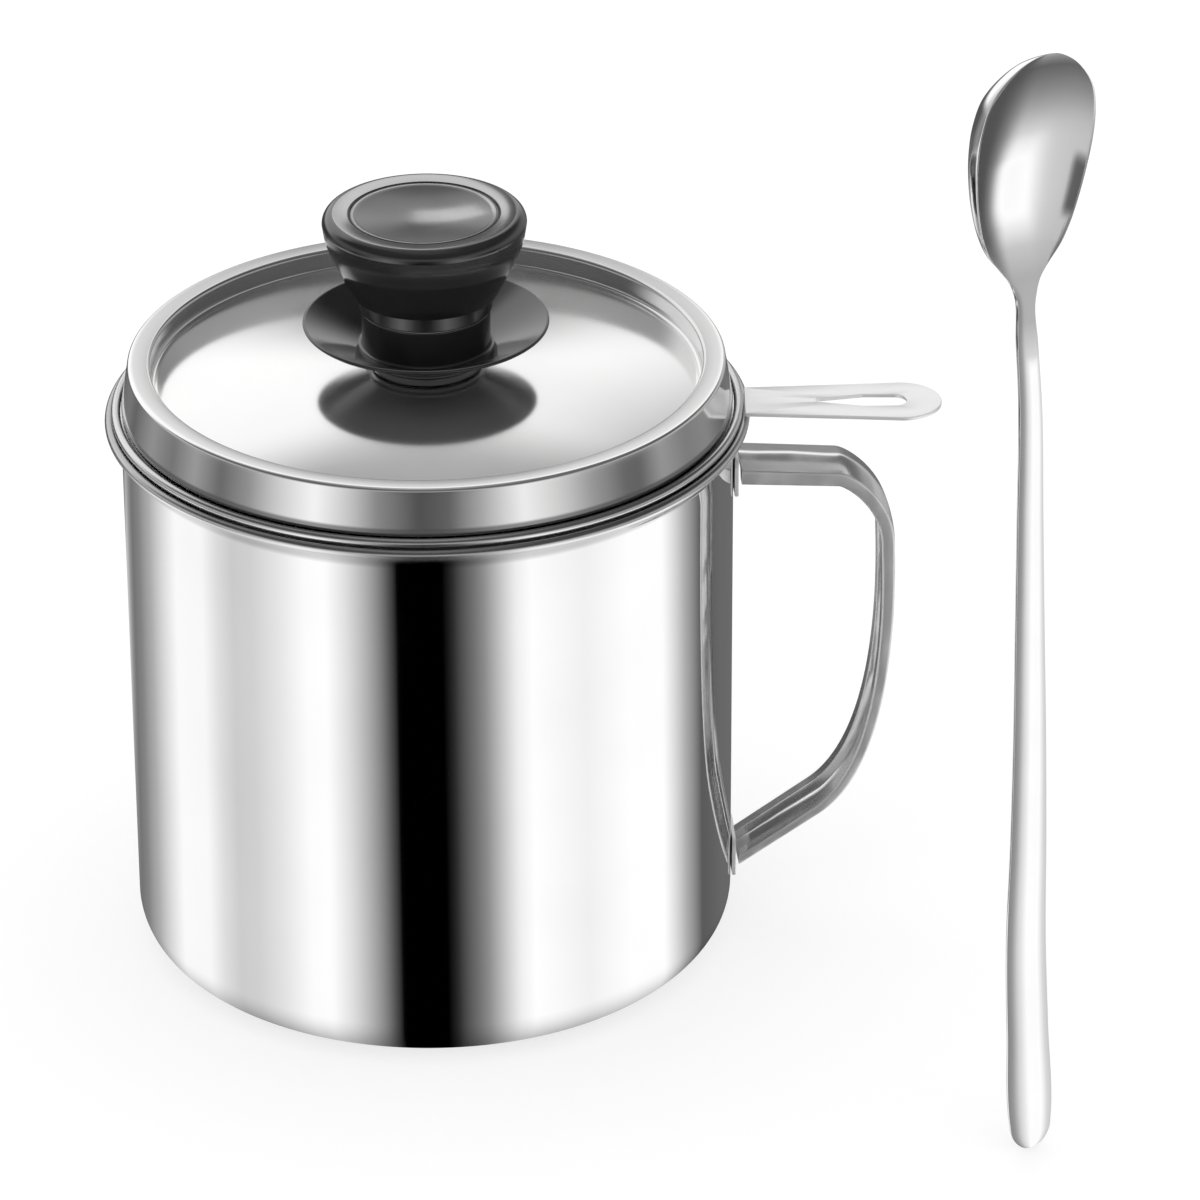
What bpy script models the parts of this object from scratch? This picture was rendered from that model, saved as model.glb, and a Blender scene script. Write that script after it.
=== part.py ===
"""Stainless grease keeper: handled pot, lift-out strainer, lid with a black knob, and spoon."""

import math

import bmesh
import bpy
from mathutils import Vector

# Play and sheet, in metres like every length here
GAP = 0.0003  # left between pieces that touch
SHEET = 0.0006  # wall of the pot, the strainer and the lid
AXIS_MERGE = 0.00001  # joins the points of a profile that lie on its axis
TURN_STEPS = 40  # facets round the pot, the strainer and the lid

# Pot: a drawn cup whose rim is rolled outwards
POT_RADIUS = 0.065
POT_HEIGHT = 0.12385
POT_CORNER = 0.0096
POT_BEAD = 0.0011  # radius of the rolled rim
POT_BEAD_REACH = 0.0023  # from the wall's outer face out to the middle of the rolled rim
POT_FLARE = 0.0045  # height over which the wall opens out to the rolled rim
POT_BEAD_END = -100  # degrees, where the roll stops
POT_FLARE_STEPS = 4

# Handle: a formed strip with hemmed edges, on two plates that hug the wall
HANDLE_WIDTH = 0.0144
HANDLE_TOP_THICKNESS = 0.0034
HANDLE_LOW_THICKNESS = 0.0018
HANDLE_REACH = 0.0332  # from the pot's wall out to the middle of the grip
HANDLE_RIM_DROP = 0.01615  # from the top of the pot's roll down to the top arm's root
HANDLE_GRIP_DROP = 0.0178  # from that root down to where the grip stands upright
HANDLE_FOOT_HEIGHT = 0.0138
HANDLE_TOP_ARM = 0.0210
HANDLE_LOW_ARM = 0.0206
HANDLE_DROOP = 3.7  # degrees that the top arm falls
HANDLE_RISE = 34.9  # degrees that the lower arm climbs
HANDLE_TOP_PULL = 0.0020  # the four pulls shape the two bends between the arms and the grip
HANDLE_SHOULDER_PULL = 0.0105
HANDLE_GRIP_PULL = 0.0040
HANDLE_HEEL_PULL = 0.0217
HANDLE_CROWN = 0.0003
HANDLE_EDGE = 0.0006
HANDLE_HEM = 0.0036  # width of each folded edge on the inner side
HANDLE_SKIN_SHARE = 0.38  # of the thickness, behind the groove between the hems
TOP_BEND_STEPS = 9
LOW_BEND_STEPS = 11
PLATE_WIDTH = 0.0150
PLATE_HEIGHT = 0.0090
PLATE_THICKNESS = 0.0009
PLATE_CORNER = 0.0025
PLATE_DROP = 0.0006  # of the upper plate's middle below the arm
PLATE_LIFT = 0.0002  # of the lower plate's middle above the arm
PLATE_CORNER_STEPS = 3
PLATE_FACE_STEPS = 2

# Strainer: a shallow cup with a rolled rim, its net, the ring that holds it and its flat tab
STRAINER_BEAD = 0.0010
STRAINER_BEAD_INSET = 0.0013  # from the middle of the pot's roll in to the middle of this one
STRAINER_BEAD_END = -80  # degrees
STRAINER_SEAT_RISE = 0.00015  # of the seat's top over the middle of the roll
STRAINER_PLAY = 0.0010  # between its wall and the pot's
STRAINER_DEPTH = 0.030
STRAINER_CORNER = 0.0050
STRAINER_SHOULDER = 0.0015
STRAINER_LEDGE = 0.0163  # from its wall in to the opening that the net covers
NET_LAP = 0.0030  # of the net on the ledge
NET_THICKNESS = 0.0005
NET_PITCH = 0.0092
NET_BAR = 0.0014
NET_EDGE_STEPS = 32
NET_RING_LAP = 0.0010  # of the ring past the net's edge
NET_RING_THICKNESS = 0.0008
TAB_ANGLE = -4  # degrees from the handle, as the strainer was dropped in
TAB_THICKNESS = 0.0008
TAB_LENGTH = 0.0418
TAB_ROOT_WIDTH = 0.0126
TAB_END_RADIUS = 0.0086
SLOT_START = 0.0152
SLOT_LENGTH = 0.0192
SLOT_SHOULDER = 0.0100  # from the slot's narrow end to where it is full width
SLOT_NARROW = 0.0009  # half widths
SLOT_WIDE = 0.0027
TAB_ARC_STEPS = 10
SLOT_ARC_STEPS = 6

# Lid: one turned sheet, skirt rolled in at the bottom, dished top with a low dome
LID_PLAY = 0.0002  # between its skirt and the strainer's roll
LID_CURL = 0.0010
LID_CURL_PROUD = 0.0002
LID_CURL_END = -250  # degrees
LID_HEIGHT = 0.0104
LID_TAPER = 0.0013  # the skirt is this much narrower at its top
LID_EDGE = 0.0008
LID_RIM_WIDTH = 0.0033
LID_RIM_TURN = 0.0008
LID_DISH_DEPTH = 0.0055
LID_DISH_FILLET = 0.0030
LID_DOME_RISE = 0.0035
LID_HUB_RADIUS = 0.0130
LID_DOME_STEPS = 4

# Knob stack: seat ring, guard dish with its neck, grip, cap, moulded-in insert
SEAT_RING_RADIUS = 0.0118
SEAT_RING_HEIGHT = 0.0018
GUARD_HUB_RADIUS = 0.0125
GUARD_RADIUS = 0.0261
GUARD_RISE = 0.0083
GUARD_EDGE = 0.0010
GUARD_HUB_STEP = 0.0006
GUARD_WALL = 0.0016
GUARD_FILLET = 0.0006
NECK_RADIUS = 0.0136
NECK_HEIGHT = 0.0111
COLLAR_RADIUS = 0.0141
COLLAR_HEIGHT = 0.0036
GRIP_RADIUS = 0.0215
GRIP_HEIGHT = 0.0216
GRIP_EDGE = 0.0024
GRIP_LIP_DROP = 0.0003
GRIP_SIDE_SHARES = ((0.17, 0.0), (0.36, 0.17), (0.55, 0.35), (0.75, 0.55), (0.91, 0.76))
CAP_RADIUS = 0.0156
CAP_RECESS = 0.0032
CAP_EDGE_HEIGHT = 0.0028
CAP_CENTRE_HEIGHT = 0.0010
CAP_LIP = 0.0008
CAP_DISH_STEPS = 4
INSERT_RADIUS = 0.0042
INSERT_LENGTH = 0.0110
BORE_END = 0.0030  # room over the insert
KNOB_STEPS = 28
SMALL_STEPS = 16

# Screw that holds the knob, and its washer, under the lid
SCREW_RADIUS = 0.0025
SCREW_HEAD_RADIUS = 0.0046
SCREW_HEAD_HEIGHT = 0.0024
SCREW_HEAD_EDGE = 0.0009
SCREW_IN_INSERT = 0.0085
WASHER_RADIUS = 0.0070
WASHER_THICKNESS = 0.0008

# Spoon: pressed from one blank, stood on its tip in front of the pot
SPOON_X = 0.1184
SPOON_Y = -0.1066
SPOON_TURN = 26  # degrees that its hollow turns from -Y towards +X
SPOON_HEIGHT = 0.2428
SPOON_TIP_RADIUS = 0.0060
SPOON_END_WIDTH = 0.0097
SPOON_END_HEIGHT = 0.0400  # the handle's widest stretch ends here
SPOON_NECK_WIDTH = 0.0044
SPOON_NECK_HEIGHT = 0.1800
SPOON_END_THICKNESS = 0.0024
SPOON_NECK_THICKNESS = 0.0030
SPOON_TAPER_POWER = 0.85  # of the handle's width towards the neck
SPOON_SWELL_POWER = 0.5  # of the thickness across a section
BOWL_START = 0.1900
BOWL_WIDTH = 0.0264
BOWL_DEPTH = 0.0086
BOWL_THICKNESS = 0.0011
BOWL_POWER = 2.8  # of the hollow's section: 2 is an ellipse, more is a flatter floor
BOWL_THIN_SHARE = 0.25  # of the bowl's length, over which the neck's thickness runs out
BOWL_WIDTH_SHARES = (0.165, 0.235, 0.40, 0.615, 0.76, 0.87, 0.955, 1.0, 0.985, 0.895, 0.695, 0.45)
BOWL_PLACE_SHARES = (0.0, 0.05, 0.11, 0.18, 0.26, 0.36, 0.48, 0.60, 0.72, 0.82, 0.90, 0.96)
SPOON_LEAN = -0.0115  # of the neck, behind the tip
SPOON_LEAN_SHARES = (0.0, 0.20, 0.365, 0.39, 0.45, 0.55, 0.645, 0.74, 1.0)
BOWL_NOD = 0.0050  # of the bowl's end, ahead of the neck
HANDLE_END_STEPS = 4
HANDLE_RUN_STEPS = 8
SPOON_ACROSS = 10

# Colours, linear, with roughness and metallic
STEEL = ((0.80, 0.80, 0.80, 1.0), 0.06, 1.0)
SATIN_STEEL = ((0.72, 0.72, 0.72, 1.0), 0.25, 1.0)
WIRE_STEEL = ((0.62, 0.62, 0.62, 1.0), 0.35, 1.0)
BLACK_PHENOLIC = ((0.012, 0.012, 0.013, 1.0), 0.22, 0.0)
BLACK_CAP = ((0.030, 0.030, 0.032, 1.0), 0.15, 0.0)
BRASS = ((0.70, 0.48, 0.20, 1.0), 0.30, 1.0)

# Places worked out from the sizes above
POT_INSIDE = POT_RADIUS - SHEET
POT_BEAD_RADIUS = POT_RADIUS + POT_BEAD_REACH
POT_BEAD_HEIGHT = POT_HEIGHT - POT_BEAD
BEAD_REST = POT_BEAD + STRAINER_BEAD + GAP
STRAINER_BEAD_RADIUS = POT_BEAD_RADIUS - STRAINER_BEAD_INSET
STRAINER_HEIGHT = POT_BEAD_HEIGHT + math.sqrt(BEAD_REST**2 - STRAINER_BEAD_INSET**2)
STRAINER_FLOOR = STRAINER_SEAT_RISE - STRAINER_DEPTH
STRAINER_WALL = POT_INSIDE - STRAINER_PLAY - SHEET
STRAINER_OPENING = STRAINER_WALL - STRAINER_LEDGE
LID_CURL_OUTSIDE = STRAINER_BEAD_RADIUS - STRAINER_BEAD - LID_PLAY
LID_RADIUS = LID_CURL_OUTSIDE - LID_CURL_PROUD
LID_BASE = STRAINER_HEIGHT + STRAINER_SEAT_RISE + GAP
LID_HUB_HEIGHT = LID_HEIGHT - LID_DISH_DEPTH + LID_DOME_RISE
LID_HOLE = SCREW_RADIUS + GAP
SEAT_RING_BASE = LID_HUB_HEIGHT + GAP
GUARD_BASE = SEAT_RING_BASE + SEAT_RING_HEIGHT + GAP
GRIP_BASE = GUARD_BASE + NECK_HEIGHT + GAP
PLATE_INSIDE = POT_RADIUS + GAP
HANDLE_ROOT = PLATE_INSIDE + PLATE_THICKNESS + GAP
HANDLE_ROOT_HEIGHT = POT_HEIGHT - HANDLE_RIM_DROP


def clear_scene():
    """Remove every object of the file."""
    for item in list(bpy.data.objects):
        bpy.data.objects.remove(item, do_unlink=True)


def make_material(name, look):
    """A Principled material from a colour, a roughness and a metallic value."""
    colour, roughness, metallic = look
    material = bpy.data.materials.new(name)
    material.use_nodes = True
    shader = material.node_tree.nodes["Principled BSDF"]
    shader.inputs["Base Color"].default_value = colour
    shader.inputs["Roughness"].default_value = roughness
    shader.inputs["Metallic"].default_value = metallic
    material.diffuse_color = colour
    return material


def add_object(name, data, look, parent=None):
    """Put an object in the keeper's collection, with its own material, under its empty."""
    item = bpy.data.objects.new(name, data)
    keeper.objects.link(item)
    data.materials.append(make_material(name + "_finish", look))
    item.parent = parent
    return item


def add_empty(name, location, parent=None):
    """An empty that carries the pieces of one moving body."""
    item = bpy.data.objects.new(name, None)
    item.empty_display_size = POT_RADIUS
    item.location = location
    item.parent = parent
    keeper.objects.link(item)
    return item


def arc(centre, radius, start, end, steps):
    """Points on a circle from one angle to another, in degrees."""
    points = []
    for index in range(steps + 1):
        angle = math.radians(start + (end - start) * index / steps)
        x = centre[0] + radius * math.cos(angle)
        points.append((x, centre[1] + radius * math.sin(angle)))
    return points


def turned(name, profile, look, parent=None, steps=KNOB_STEPS, closed=False, sheet=0.0):
    """Turn a profile round Z; with a sheet value, give the open surface that thickness inwards."""
    edges = [(index, index + 1) for index in range(len(profile) - 1)]
    if closed:
        edges.append((len(profile) - 1, 0))
    mesh = bpy.data.meshes.new(name)
    mesh.from_pydata([(x, 0.0, z) for x, z in profile], edges, [])
    item = add_object(name, mesh, look, parent)
    screw = item.modifiers.new("Turn", "SCREW")
    screw.steps = steps
    screw.render_steps = steps
    screw.use_merge_vertices = True
    screw.merge_threshold = AXIS_MERGE
    screw.use_smooth_shade = True
    if sheet:
        shell = item.modifiers.new("Sheet", "SOLIDIFY")
        shell.thickness = sheet
        shell.offset = -1.0
        shell.use_even_offset = True
        shell.use_quality_normals = True
    return item


def loft(name, rings, look, parent=None):
    """Skin closed rings of the same count in order, and cap the first and the last."""
    mesh = bpy.data.meshes.new(name)
    build = bmesh.new()
    rows = [[build.verts.new(point) for point in ring] for ring in rings]
    count = len(rows[0])
    for low, high in zip(rows, rows[1:]):
        for index in range(count):
            after = (index + 1) % count
            build.faces.new((low[index], low[after], high[after], high[index]))
    build.faces.new(rows[0])
    build.faces.new(rows[-1])
    bmesh.ops.remove_doubles(build, verts=build.verts, dist=AXIS_MERGE)
    bmesh.ops.recalc_face_normals(build, faces=build.faces)
    build.to_mesh(mesh)
    build.free()
    mesh.shade_smooth()
    mesh.set_sharp_from_angle(angle=math.radians(40))
    return add_object(name, mesh, look, parent)


def flat_plate(name, outlines, thickness, look, parent=None):
    """A flat piece from 2D outlines; the outlines inside the first one are its openings."""
    curve = bpy.data.curves.new(name, "CURVE")
    curve.dimensions = "2D"
    curve.fill_mode = "BOTH"
    curve.extrude = thickness / 2
    for outline in outlines:
        spline = curve.splines.new("POLY")
        spline.points.add(len(outline) - 1)
        for point, (x, y) in zip(spline.points, outline):
            point.co = (x, y, 0.0, 1.0)
        spline.use_cyclic_u = True
    return add_object(name, curve, look, parent)


def make_pot():
    """The drawn cup, profile along its inside from the floor's middle over the rolled rim."""
    corner = POT_CORNER - SHEET
    profile = [(0.0, SHEET)]
    profile += arc((POT_INSIDE - corner, SHEET + corner), corner, -90, 0, 5)
    roll_inside = POT_BEAD_RADIUS - POT_BEAD
    for index in range(POT_FLARE_STEPS):
        share = index / POT_FLARE_STEPS
        swing = (1 - math.cos(math.pi * share)) / 2
        radius = POT_INSIDE + (roll_inside - POT_INSIDE) * swing
        profile.append((radius, POT_BEAD_HEIGHT - POT_FLARE * (1 - share)))
    profile += arc((POT_BEAD_RADIUS, POT_BEAD_HEIGHT), POT_BEAD, 180, POT_BEAD_END, 8)
    turned("pot_body", profile, STEEL, steps=TURN_STEPS, sheet=SHEET)


def bezier(start, pull_a, pull_b, end, steps):
    """Points on a cubic curve, without its first point."""
    points = []
    for index in range(1, steps + 1):
        t = index / steps
        u = 1 - t
        point = start * u**3 + pull_a * (3 * u * u * t) + pull_b * (3 * u * t * t)
        points.append(point + end * t**3)
    return points


def handle_path():
    """Middle line of the handle from its top root to its foot, in the XZ plane."""
    fall = math.radians(HANDLE_DROOP)
    climb = math.radians(HANDLE_RISE)
    out = Vector((math.cos(fall), 0.0, -math.sin(fall)))
    back = Vector((math.cos(climb), 0.0, math.sin(climb)))
    down = Vector((0.0, 0.0, -1.0))
    root = Vector((HANDLE_ROOT, 0.0, HANDLE_ROOT_HEIGHT))
    foot = Vector((HANDLE_ROOT, 0.0, HANDLE_FOOT_HEIGHT))
    grip = Vector((POT_RADIUS + HANDLE_REACH, 0.0, HANDLE_ROOT_HEIGHT - HANDLE_GRIP_DROP))
    shoulder = root + out * HANDLE_TOP_ARM
    heel = foot + back * HANDLE_LOW_ARM
    pull_a = shoulder + out * HANDLE_TOP_PULL
    pull_b = grip - down * HANDLE_SHOULDER_PULL
    path = [root, shoulder] + bezier(shoulder, pull_a, pull_b, grip, TOP_BEND_STEPS)
    pull_a = grip + down * HANDLE_GRIP_PULL
    pull_b = heel + back * HANDLE_HEEL_PULL
    return path + bezier(grip, pull_a, pull_b, heel, LOW_BEND_STEPS) + [foot]


def handle_section(thickness):
    """Hemmed strip, as (across, outwards) points: crowned face, two hems and a groove."""
    side = HANDLE_WIDTH / 2
    half = thickness / 2
    edge = min(HANDLE_EDGE, thickness / 3)
    groove = side - HANDLE_HEM
    floor = half - thickness * HANDLE_SKIN_SHARE
    right = [(side - edge, half), (side, half - edge), (side, edge - half)]
    right += [(side - edge, -half), (groove, -half), (groove, floor)]
    left = [(-across, out) for across, out in reversed(right)]
    return [(0.0, half + HANDLE_CROWN)] + right + left


def make_handle():
    """The strip swept along its path, thinner towards the foot, square to the pot at both ends."""
    path = handle_path()
    runs = [0.0]
    for start, end in zip(path, path[1:]):
        runs.append(runs[-1] + (end - start).length)
    rings = []
    last = len(path) - 1
    for index, point in enumerate(path):
        ahead = (path[min(index + 1, last)] - point).normalized()
        behind = (point - path[max(index - 1, 0)]).normalized()
        along = (ahead + behind).normalized()
        out = Vector((-along.z, 0.0, along.x))
        if index in (0, last):
            out = Vector((0.0, 0.0, 1.0 if index == 0 else -1.0))
            stretch = 1 / abs(along.x)
        else:
            stretch = 1 / (ahead.dot(along))
        share = runs[index] / runs[-1]
        thickness = HANDLE_TOP_THICKNESS
        thickness += (HANDLE_LOW_THICKNESS - HANDLE_TOP_THICKNESS) * share
        ring = []
        for across, away in handle_section(thickness):
            ring.append(point + Vector((0.0, across, 0.0)) + out * (away * stretch))
        rings.append(ring)
    loft("handle_strip", rings, STEEL)


def make_plate(name, height):
    """A small plate with round corners, bent to the pot's wall, that the handle is welded to."""
    side = PLATE_WIDTH / 2
    flat = side - PLATE_CORNER
    stations = [side - PLATE_CORNER * (1 - math.sin(math.pi / 2 * index / PLATE_CORNER_STEPS))
                for index in range(PLATE_CORNER_STEPS, -1, -1)]
    stations += [flat * (1 - index / PLATE_FACE_STEPS) for index in range(1, PLATE_FACE_STEPS)]
    stations += [0.0]
    stations += [-place for place in reversed(stations[:-1])]
    outside = PLATE_INSIDE + PLATE_THICKNESS
    rings = []
    for place in stations:
        past = min(PLATE_CORNER, max(0.0, abs(place) - flat))
        half = PLATE_HEIGHT / 2 - PLATE_CORNER + math.sqrt(PLATE_CORNER**2 - past**2)
        angle = place / PLATE_INSIDE
        ring = []
        for radius, z in ((PLATE_INSIDE, -half), (outside, -half), (outside, half), (PLATE_INSIDE, half)):
            ring.append((radius * math.cos(angle), radius * math.sin(angle), height + z))
        rings.append(ring)
    loft(name, rings, SATIN_STEEL)


def make_strainer(carrier):
    """Strainer cup, profile along its inside from the ledge out over the seat and the roll."""
    seat = STRAINER_SEAT_RISE
    profile = [(STRAINER_OPENING, STRAINER_FLOOR)]
    corner = (STRAINER_WALL - STRAINER_CORNER, STRAINER_FLOOR + STRAINER_CORNER)
    profile += arc(corner, STRAINER_CORNER, -90, 0, 4)
    shoulder = (STRAINER_WALL + STRAINER_SHOULDER, seat - STRAINER_SHOULDER)
    profile += arc(shoulder, STRAINER_SHOULDER, 180, 90, 2)
    meet = 180 - math.degrees(math.asin(seat / STRAINER_BEAD))
    profile += arc((STRAINER_BEAD_RADIUS, 0.0), STRAINER_BEAD, meet, STRAINER_BEAD_END, 8)
    turned("strainer_cup", profile, STEEL, carrier, TURN_STEPS, sheet=SHEET)


def make_net(carrier):
    """Net disc with square openings in a diamond layout, and the flat ring that clamps it."""
    radius = STRAINER_OPENING + NET_LAP
    base = STRAINER_FLOOR + GAP
    outlines = [arc((0.0, 0.0), radius, 0, 360, NET_EDGE_STEPS)[:-1]]
    half = (NET_PITCH - NET_BAR) / 2
    reach = STRAINER_OPENING - half * math.sqrt(2)
    count = int(radius / NET_PITCH) + 1
    for row in range(-count, count + 1):
        for column in range(-count, count + 1):
            x = column * NET_PITCH
            y = row * NET_PITCH
            if math.hypot(x, y) <= reach:
                outlines.append([(x - half, y - half), (x - half, y + half),
                                 (x + half, y + half), (x + half, y - half)])
    net = flat_plate("strainer_net", outlines, NET_THICKNESS, WIRE_STEEL, carrier)
    net.location.z = base + NET_THICKNESS / 2
    low = base + NET_THICKNESS + GAP
    high = low + NET_RING_THICKNESS
    outer = radius + NET_RING_LAP
    ring = [(outer, high), (outer, low), (STRAINER_OPENING, low), (STRAINER_OPENING, high)]
    turned("net_ring", ring, SATIN_STEEL, carrier, NET_EDGE_STEPS, closed=True)


def make_tab(carrier):
    """Flat tab with a drop-shaped slot, welded to the side of the strainer's roll."""
    start = STRAINER_BEAD_RADIUS + STRAINER_BEAD + GAP
    side = TAB_ROOT_WIDTH / 2
    end = start + TAB_LENGTH - TAB_END_RADIUS
    outline = [(start, side), (start, -side)]
    outline += arc((end, 0.0), TAB_END_RADIUS, -88, 88, TAB_ARC_STEPS)
    slot_end = start + SLOT_START + SLOT_LENGTH - SLOT_WIDE
    narrow = start + SLOT_START + SLOT_NARROW
    slot = arc((slot_end, 0.0), SLOT_WIDE, -90, 90, SLOT_ARC_STEPS)
    slot.append((start + SLOT_START + SLOT_SHOULDER, SLOT_WIDE))
    slot += arc((narrow, 0.0), SLOT_NARROW, 100, 260, 4)
    slot.append((start + SLOT_START + SLOT_SHOULDER, -SLOT_WIDE))
    tab = flat_plate("strainer_tab", [outline, slot], TAB_THICKNESS, STEEL, carrier)
    tab.rotation_euler.z = math.radians(TAB_ANGLE)
    tab.location.z = POT_HEIGHT + GAP + TAB_THICKNESS / 2 - STRAINER_HEIGHT


def make_lid(carrier):
    """Lid, profile along its outside from the screw hole over the dome, the rim and the skirt."""
    floor = LID_HEIGHT - LID_DISH_DEPTH
    rim_outer = LID_RADIUS - LID_TAPER - LID_EDGE
    rim_inner = rim_outer - LID_RIM_WIDTH
    wall = rim_inner - LID_RIM_TURN
    foot = wall - LID_DISH_FILLET
    profile = [(LID_HOLE, LID_HUB_HEIGHT)]
    for index in range(LID_DOME_STEPS):
        share = index / LID_DOME_STEPS
        radius = LID_HUB_RADIUS + (foot - LID_HUB_RADIUS) * share
        profile.append((radius, floor + LID_DOME_RISE * (1 - share**2)))
    profile += arc((foot, floor + LID_DISH_FILLET), LID_DISH_FILLET, -90, 0, 3)
    profile += arc((rim_inner, LID_HEIGHT - LID_RIM_TURN), LID_RIM_TURN, 180, 90, 2)
    profile += arc((rim_outer, LID_HEIGHT - LID_EDGE), LID_EDGE, 90, 0, 4)
    curl = (LID_CURL_OUTSIDE - LID_CURL, LID_CURL)
    profile.append((LID_RADIUS, LID_CURL * 2))
    profile += arc(curl, LID_CURL, 20, LID_CURL_END, 7)
    turned("lid_shell", profile, STEEL, carrier, TURN_STEPS, sheet=SHEET)


def make_guard(carrier):
    """Dished guard that keeps fingers off the hot lid, in one with the neck under the grip."""
    bore = SCREW_RADIUS + GAP
    lip = GUARD_RADIUS - GUARD_EDGE
    under_run = GUARD_RADIUS - GUARD_EDGE / 2 - GUARD_HUB_RADIUS
    under_rise = GUARD_RISE - GUARD_EDGE - GUARD_HUB_STEP
    root = NECK_RADIUS + GUARD_FILLET
    root_height = GUARD_HUB_STEP + under_rise * (root - GUARD_HUB_RADIUS) / under_run + GUARD_WALL
    profile = [(NECK_RADIUS, NECK_HEIGHT), (NECK_RADIUS, root_height + GUARD_FILLET)]
    profile += arc((root, root_height + GUARD_FILLET), GUARD_FILLET, 210, 270, 2)
    profile += [(lip, GUARD_RISE), (GUARD_RADIUS - GUARD_EDGE / 3, GUARD_RISE - GUARD_EDGE / 5)]
    profile += [(GUARD_RADIUS, GUARD_RISE - GUARD_EDGE / 2)]
    profile += [(GUARD_RADIUS - GUARD_EDGE / 2, GUARD_RISE - GUARD_EDGE)]
    profile += [(GUARD_HUB_RADIUS, GUARD_HUB_STEP), (GUARD_HUB_RADIUS, 0.0)]
    profile += [(bore, 0.0), (bore, NECK_HEIGHT)]
    guard = turned("knob_guard", profile, BLACK_PHENOLIC, carrier, closed=True)
    guard.location.z = GUARD_BASE
    low = [(SEAT_RING_RADIUS, SEAT_RING_HEIGHT), (SEAT_RING_RADIUS, 0.0), (bore, 0.0)]
    ring = turned("knob_seat_ring", low + [(bore, SEAT_RING_HEIGHT)], BLACK_PHENOLIC, carrier,
                  closed=True)
    ring.location.z = SEAT_RING_BASE


def make_grip(carrier):
    """Cupped grip with a collar below and a recess above, its cap and its brass insert."""
    insert_bore = INSERT_RADIUS + GAP
    bore_top = INSERT_LENGTH + BORE_END
    recess = CAP_RADIUS + GAP
    floor = GRIP_HEIGHT - GRIP_LIP_DROP - CAP_RECESS
    widest = GRIP_HEIGHT - GRIP_EDGE
    top = GRIP_HEIGHT - GRIP_LIP_DROP
    profile = [(0.0, floor), (recess, floor), (recess, top)]
    profile += arc((GRIP_RADIUS - GRIP_EDGE, widest), GRIP_EDGE, 90, 0, 4)
    for out_share, up_share in reversed(GRIP_SIDE_SHARES):
        radius = COLLAR_RADIUS + (GRIP_RADIUS - COLLAR_RADIUS) * out_share
        profile.append((radius, COLLAR_HEIGHT + (widest - COLLAR_HEIGHT) * up_share))
    profile += [(COLLAR_RADIUS, COLLAR_HEIGHT), (COLLAR_RADIUS, 0.0)]
    profile += [(insert_bore, 0.0), (insert_bore, bore_top), (0.0, bore_top)]
    grip = turned("knob_grip", profile, BLACK_PHENOLIC, carrier)
    grip.location.z = GRIP_BASE
    dish = CAP_RADIUS - CAP_LIP
    cap = [(0.0, CAP_CENTRE_HEIGHT)]
    for index in range(1, CAP_DISH_STEPS + 1):
        share = index / CAP_DISH_STEPS
        rise = (CAP_EDGE_HEIGHT - CAP_CENTRE_HEIGHT) * share**2
        cap.append((dish * share, CAP_CENTRE_HEIGHT + rise))
    cap += [(CAP_RADIUS, CAP_EDGE_HEIGHT), (CAP_RADIUS, 0.0), (0.0, 0.0)]
    lid_of_knob = turned("knob_cap", cap, BLACK_CAP, carrier)
    lid_of_knob.location.z = GRIP_BASE + floor + GAP
    bore = SCREW_RADIUS + GAP
    sleeve = [(INSERT_RADIUS, INSERT_LENGTH), (INSERT_RADIUS, 0.0), (bore, 0.0), (bore, INSERT_LENGTH)]
    insert = turned("knob_insert", sleeve, BRASS, carrier, SMALL_STEPS, closed=True)
    insert.location.z = GRIP_BASE


def make_screw(carrier):
    """Round-headed screw up through washer, lid, seat ring and guard into the insert."""
    washer_top = LID_HUB_HEIGHT - SHEET - GAP
    washer_low = washer_top - WASHER_THICKNESS
    hole = SCREW_RADIUS + GAP
    ring = [(WASHER_RADIUS, washer_top), (WASHER_RADIUS, washer_low), (hole, washer_low)]
    turned("knob_washer", ring + [(hole, washer_top)], SATIN_STEEL, carrier, SMALL_STEPS, closed=True)
    head_top = washer_low - GAP
    head_low = head_top - SCREW_HEAD_HEIGHT
    profile = [(0.0, GRIP_BASE + SCREW_IN_INSERT), (SCREW_RADIUS, GRIP_BASE + SCREW_IN_INSERT)]
    profile += [(SCREW_RADIUS, head_top), (SCREW_HEAD_RADIUS, head_top)]
    profile += [(SCREW_HEAD_RADIUS, head_low + SCREW_HEAD_EDGE)]
    profile += [(SCREW_HEAD_RADIUS - SCREW_HEAD_EDGE, head_low), (0.0, head_low)]
    turned("knob_screw", profile, SATIN_STEEL, carrier, SMALL_STEPS)


def blend(values, share):
    """Value on an even table at a share of its length."""
    place = share * (len(values) - 1)
    index = min(int(place), len(values) - 2)
    return values[index] + (values[index + 1] - values[index]) * (place - index)


def ease(share):
    """Smooth step from 0 to 1."""
    return share * share * (3 - 2 * share)


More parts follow.
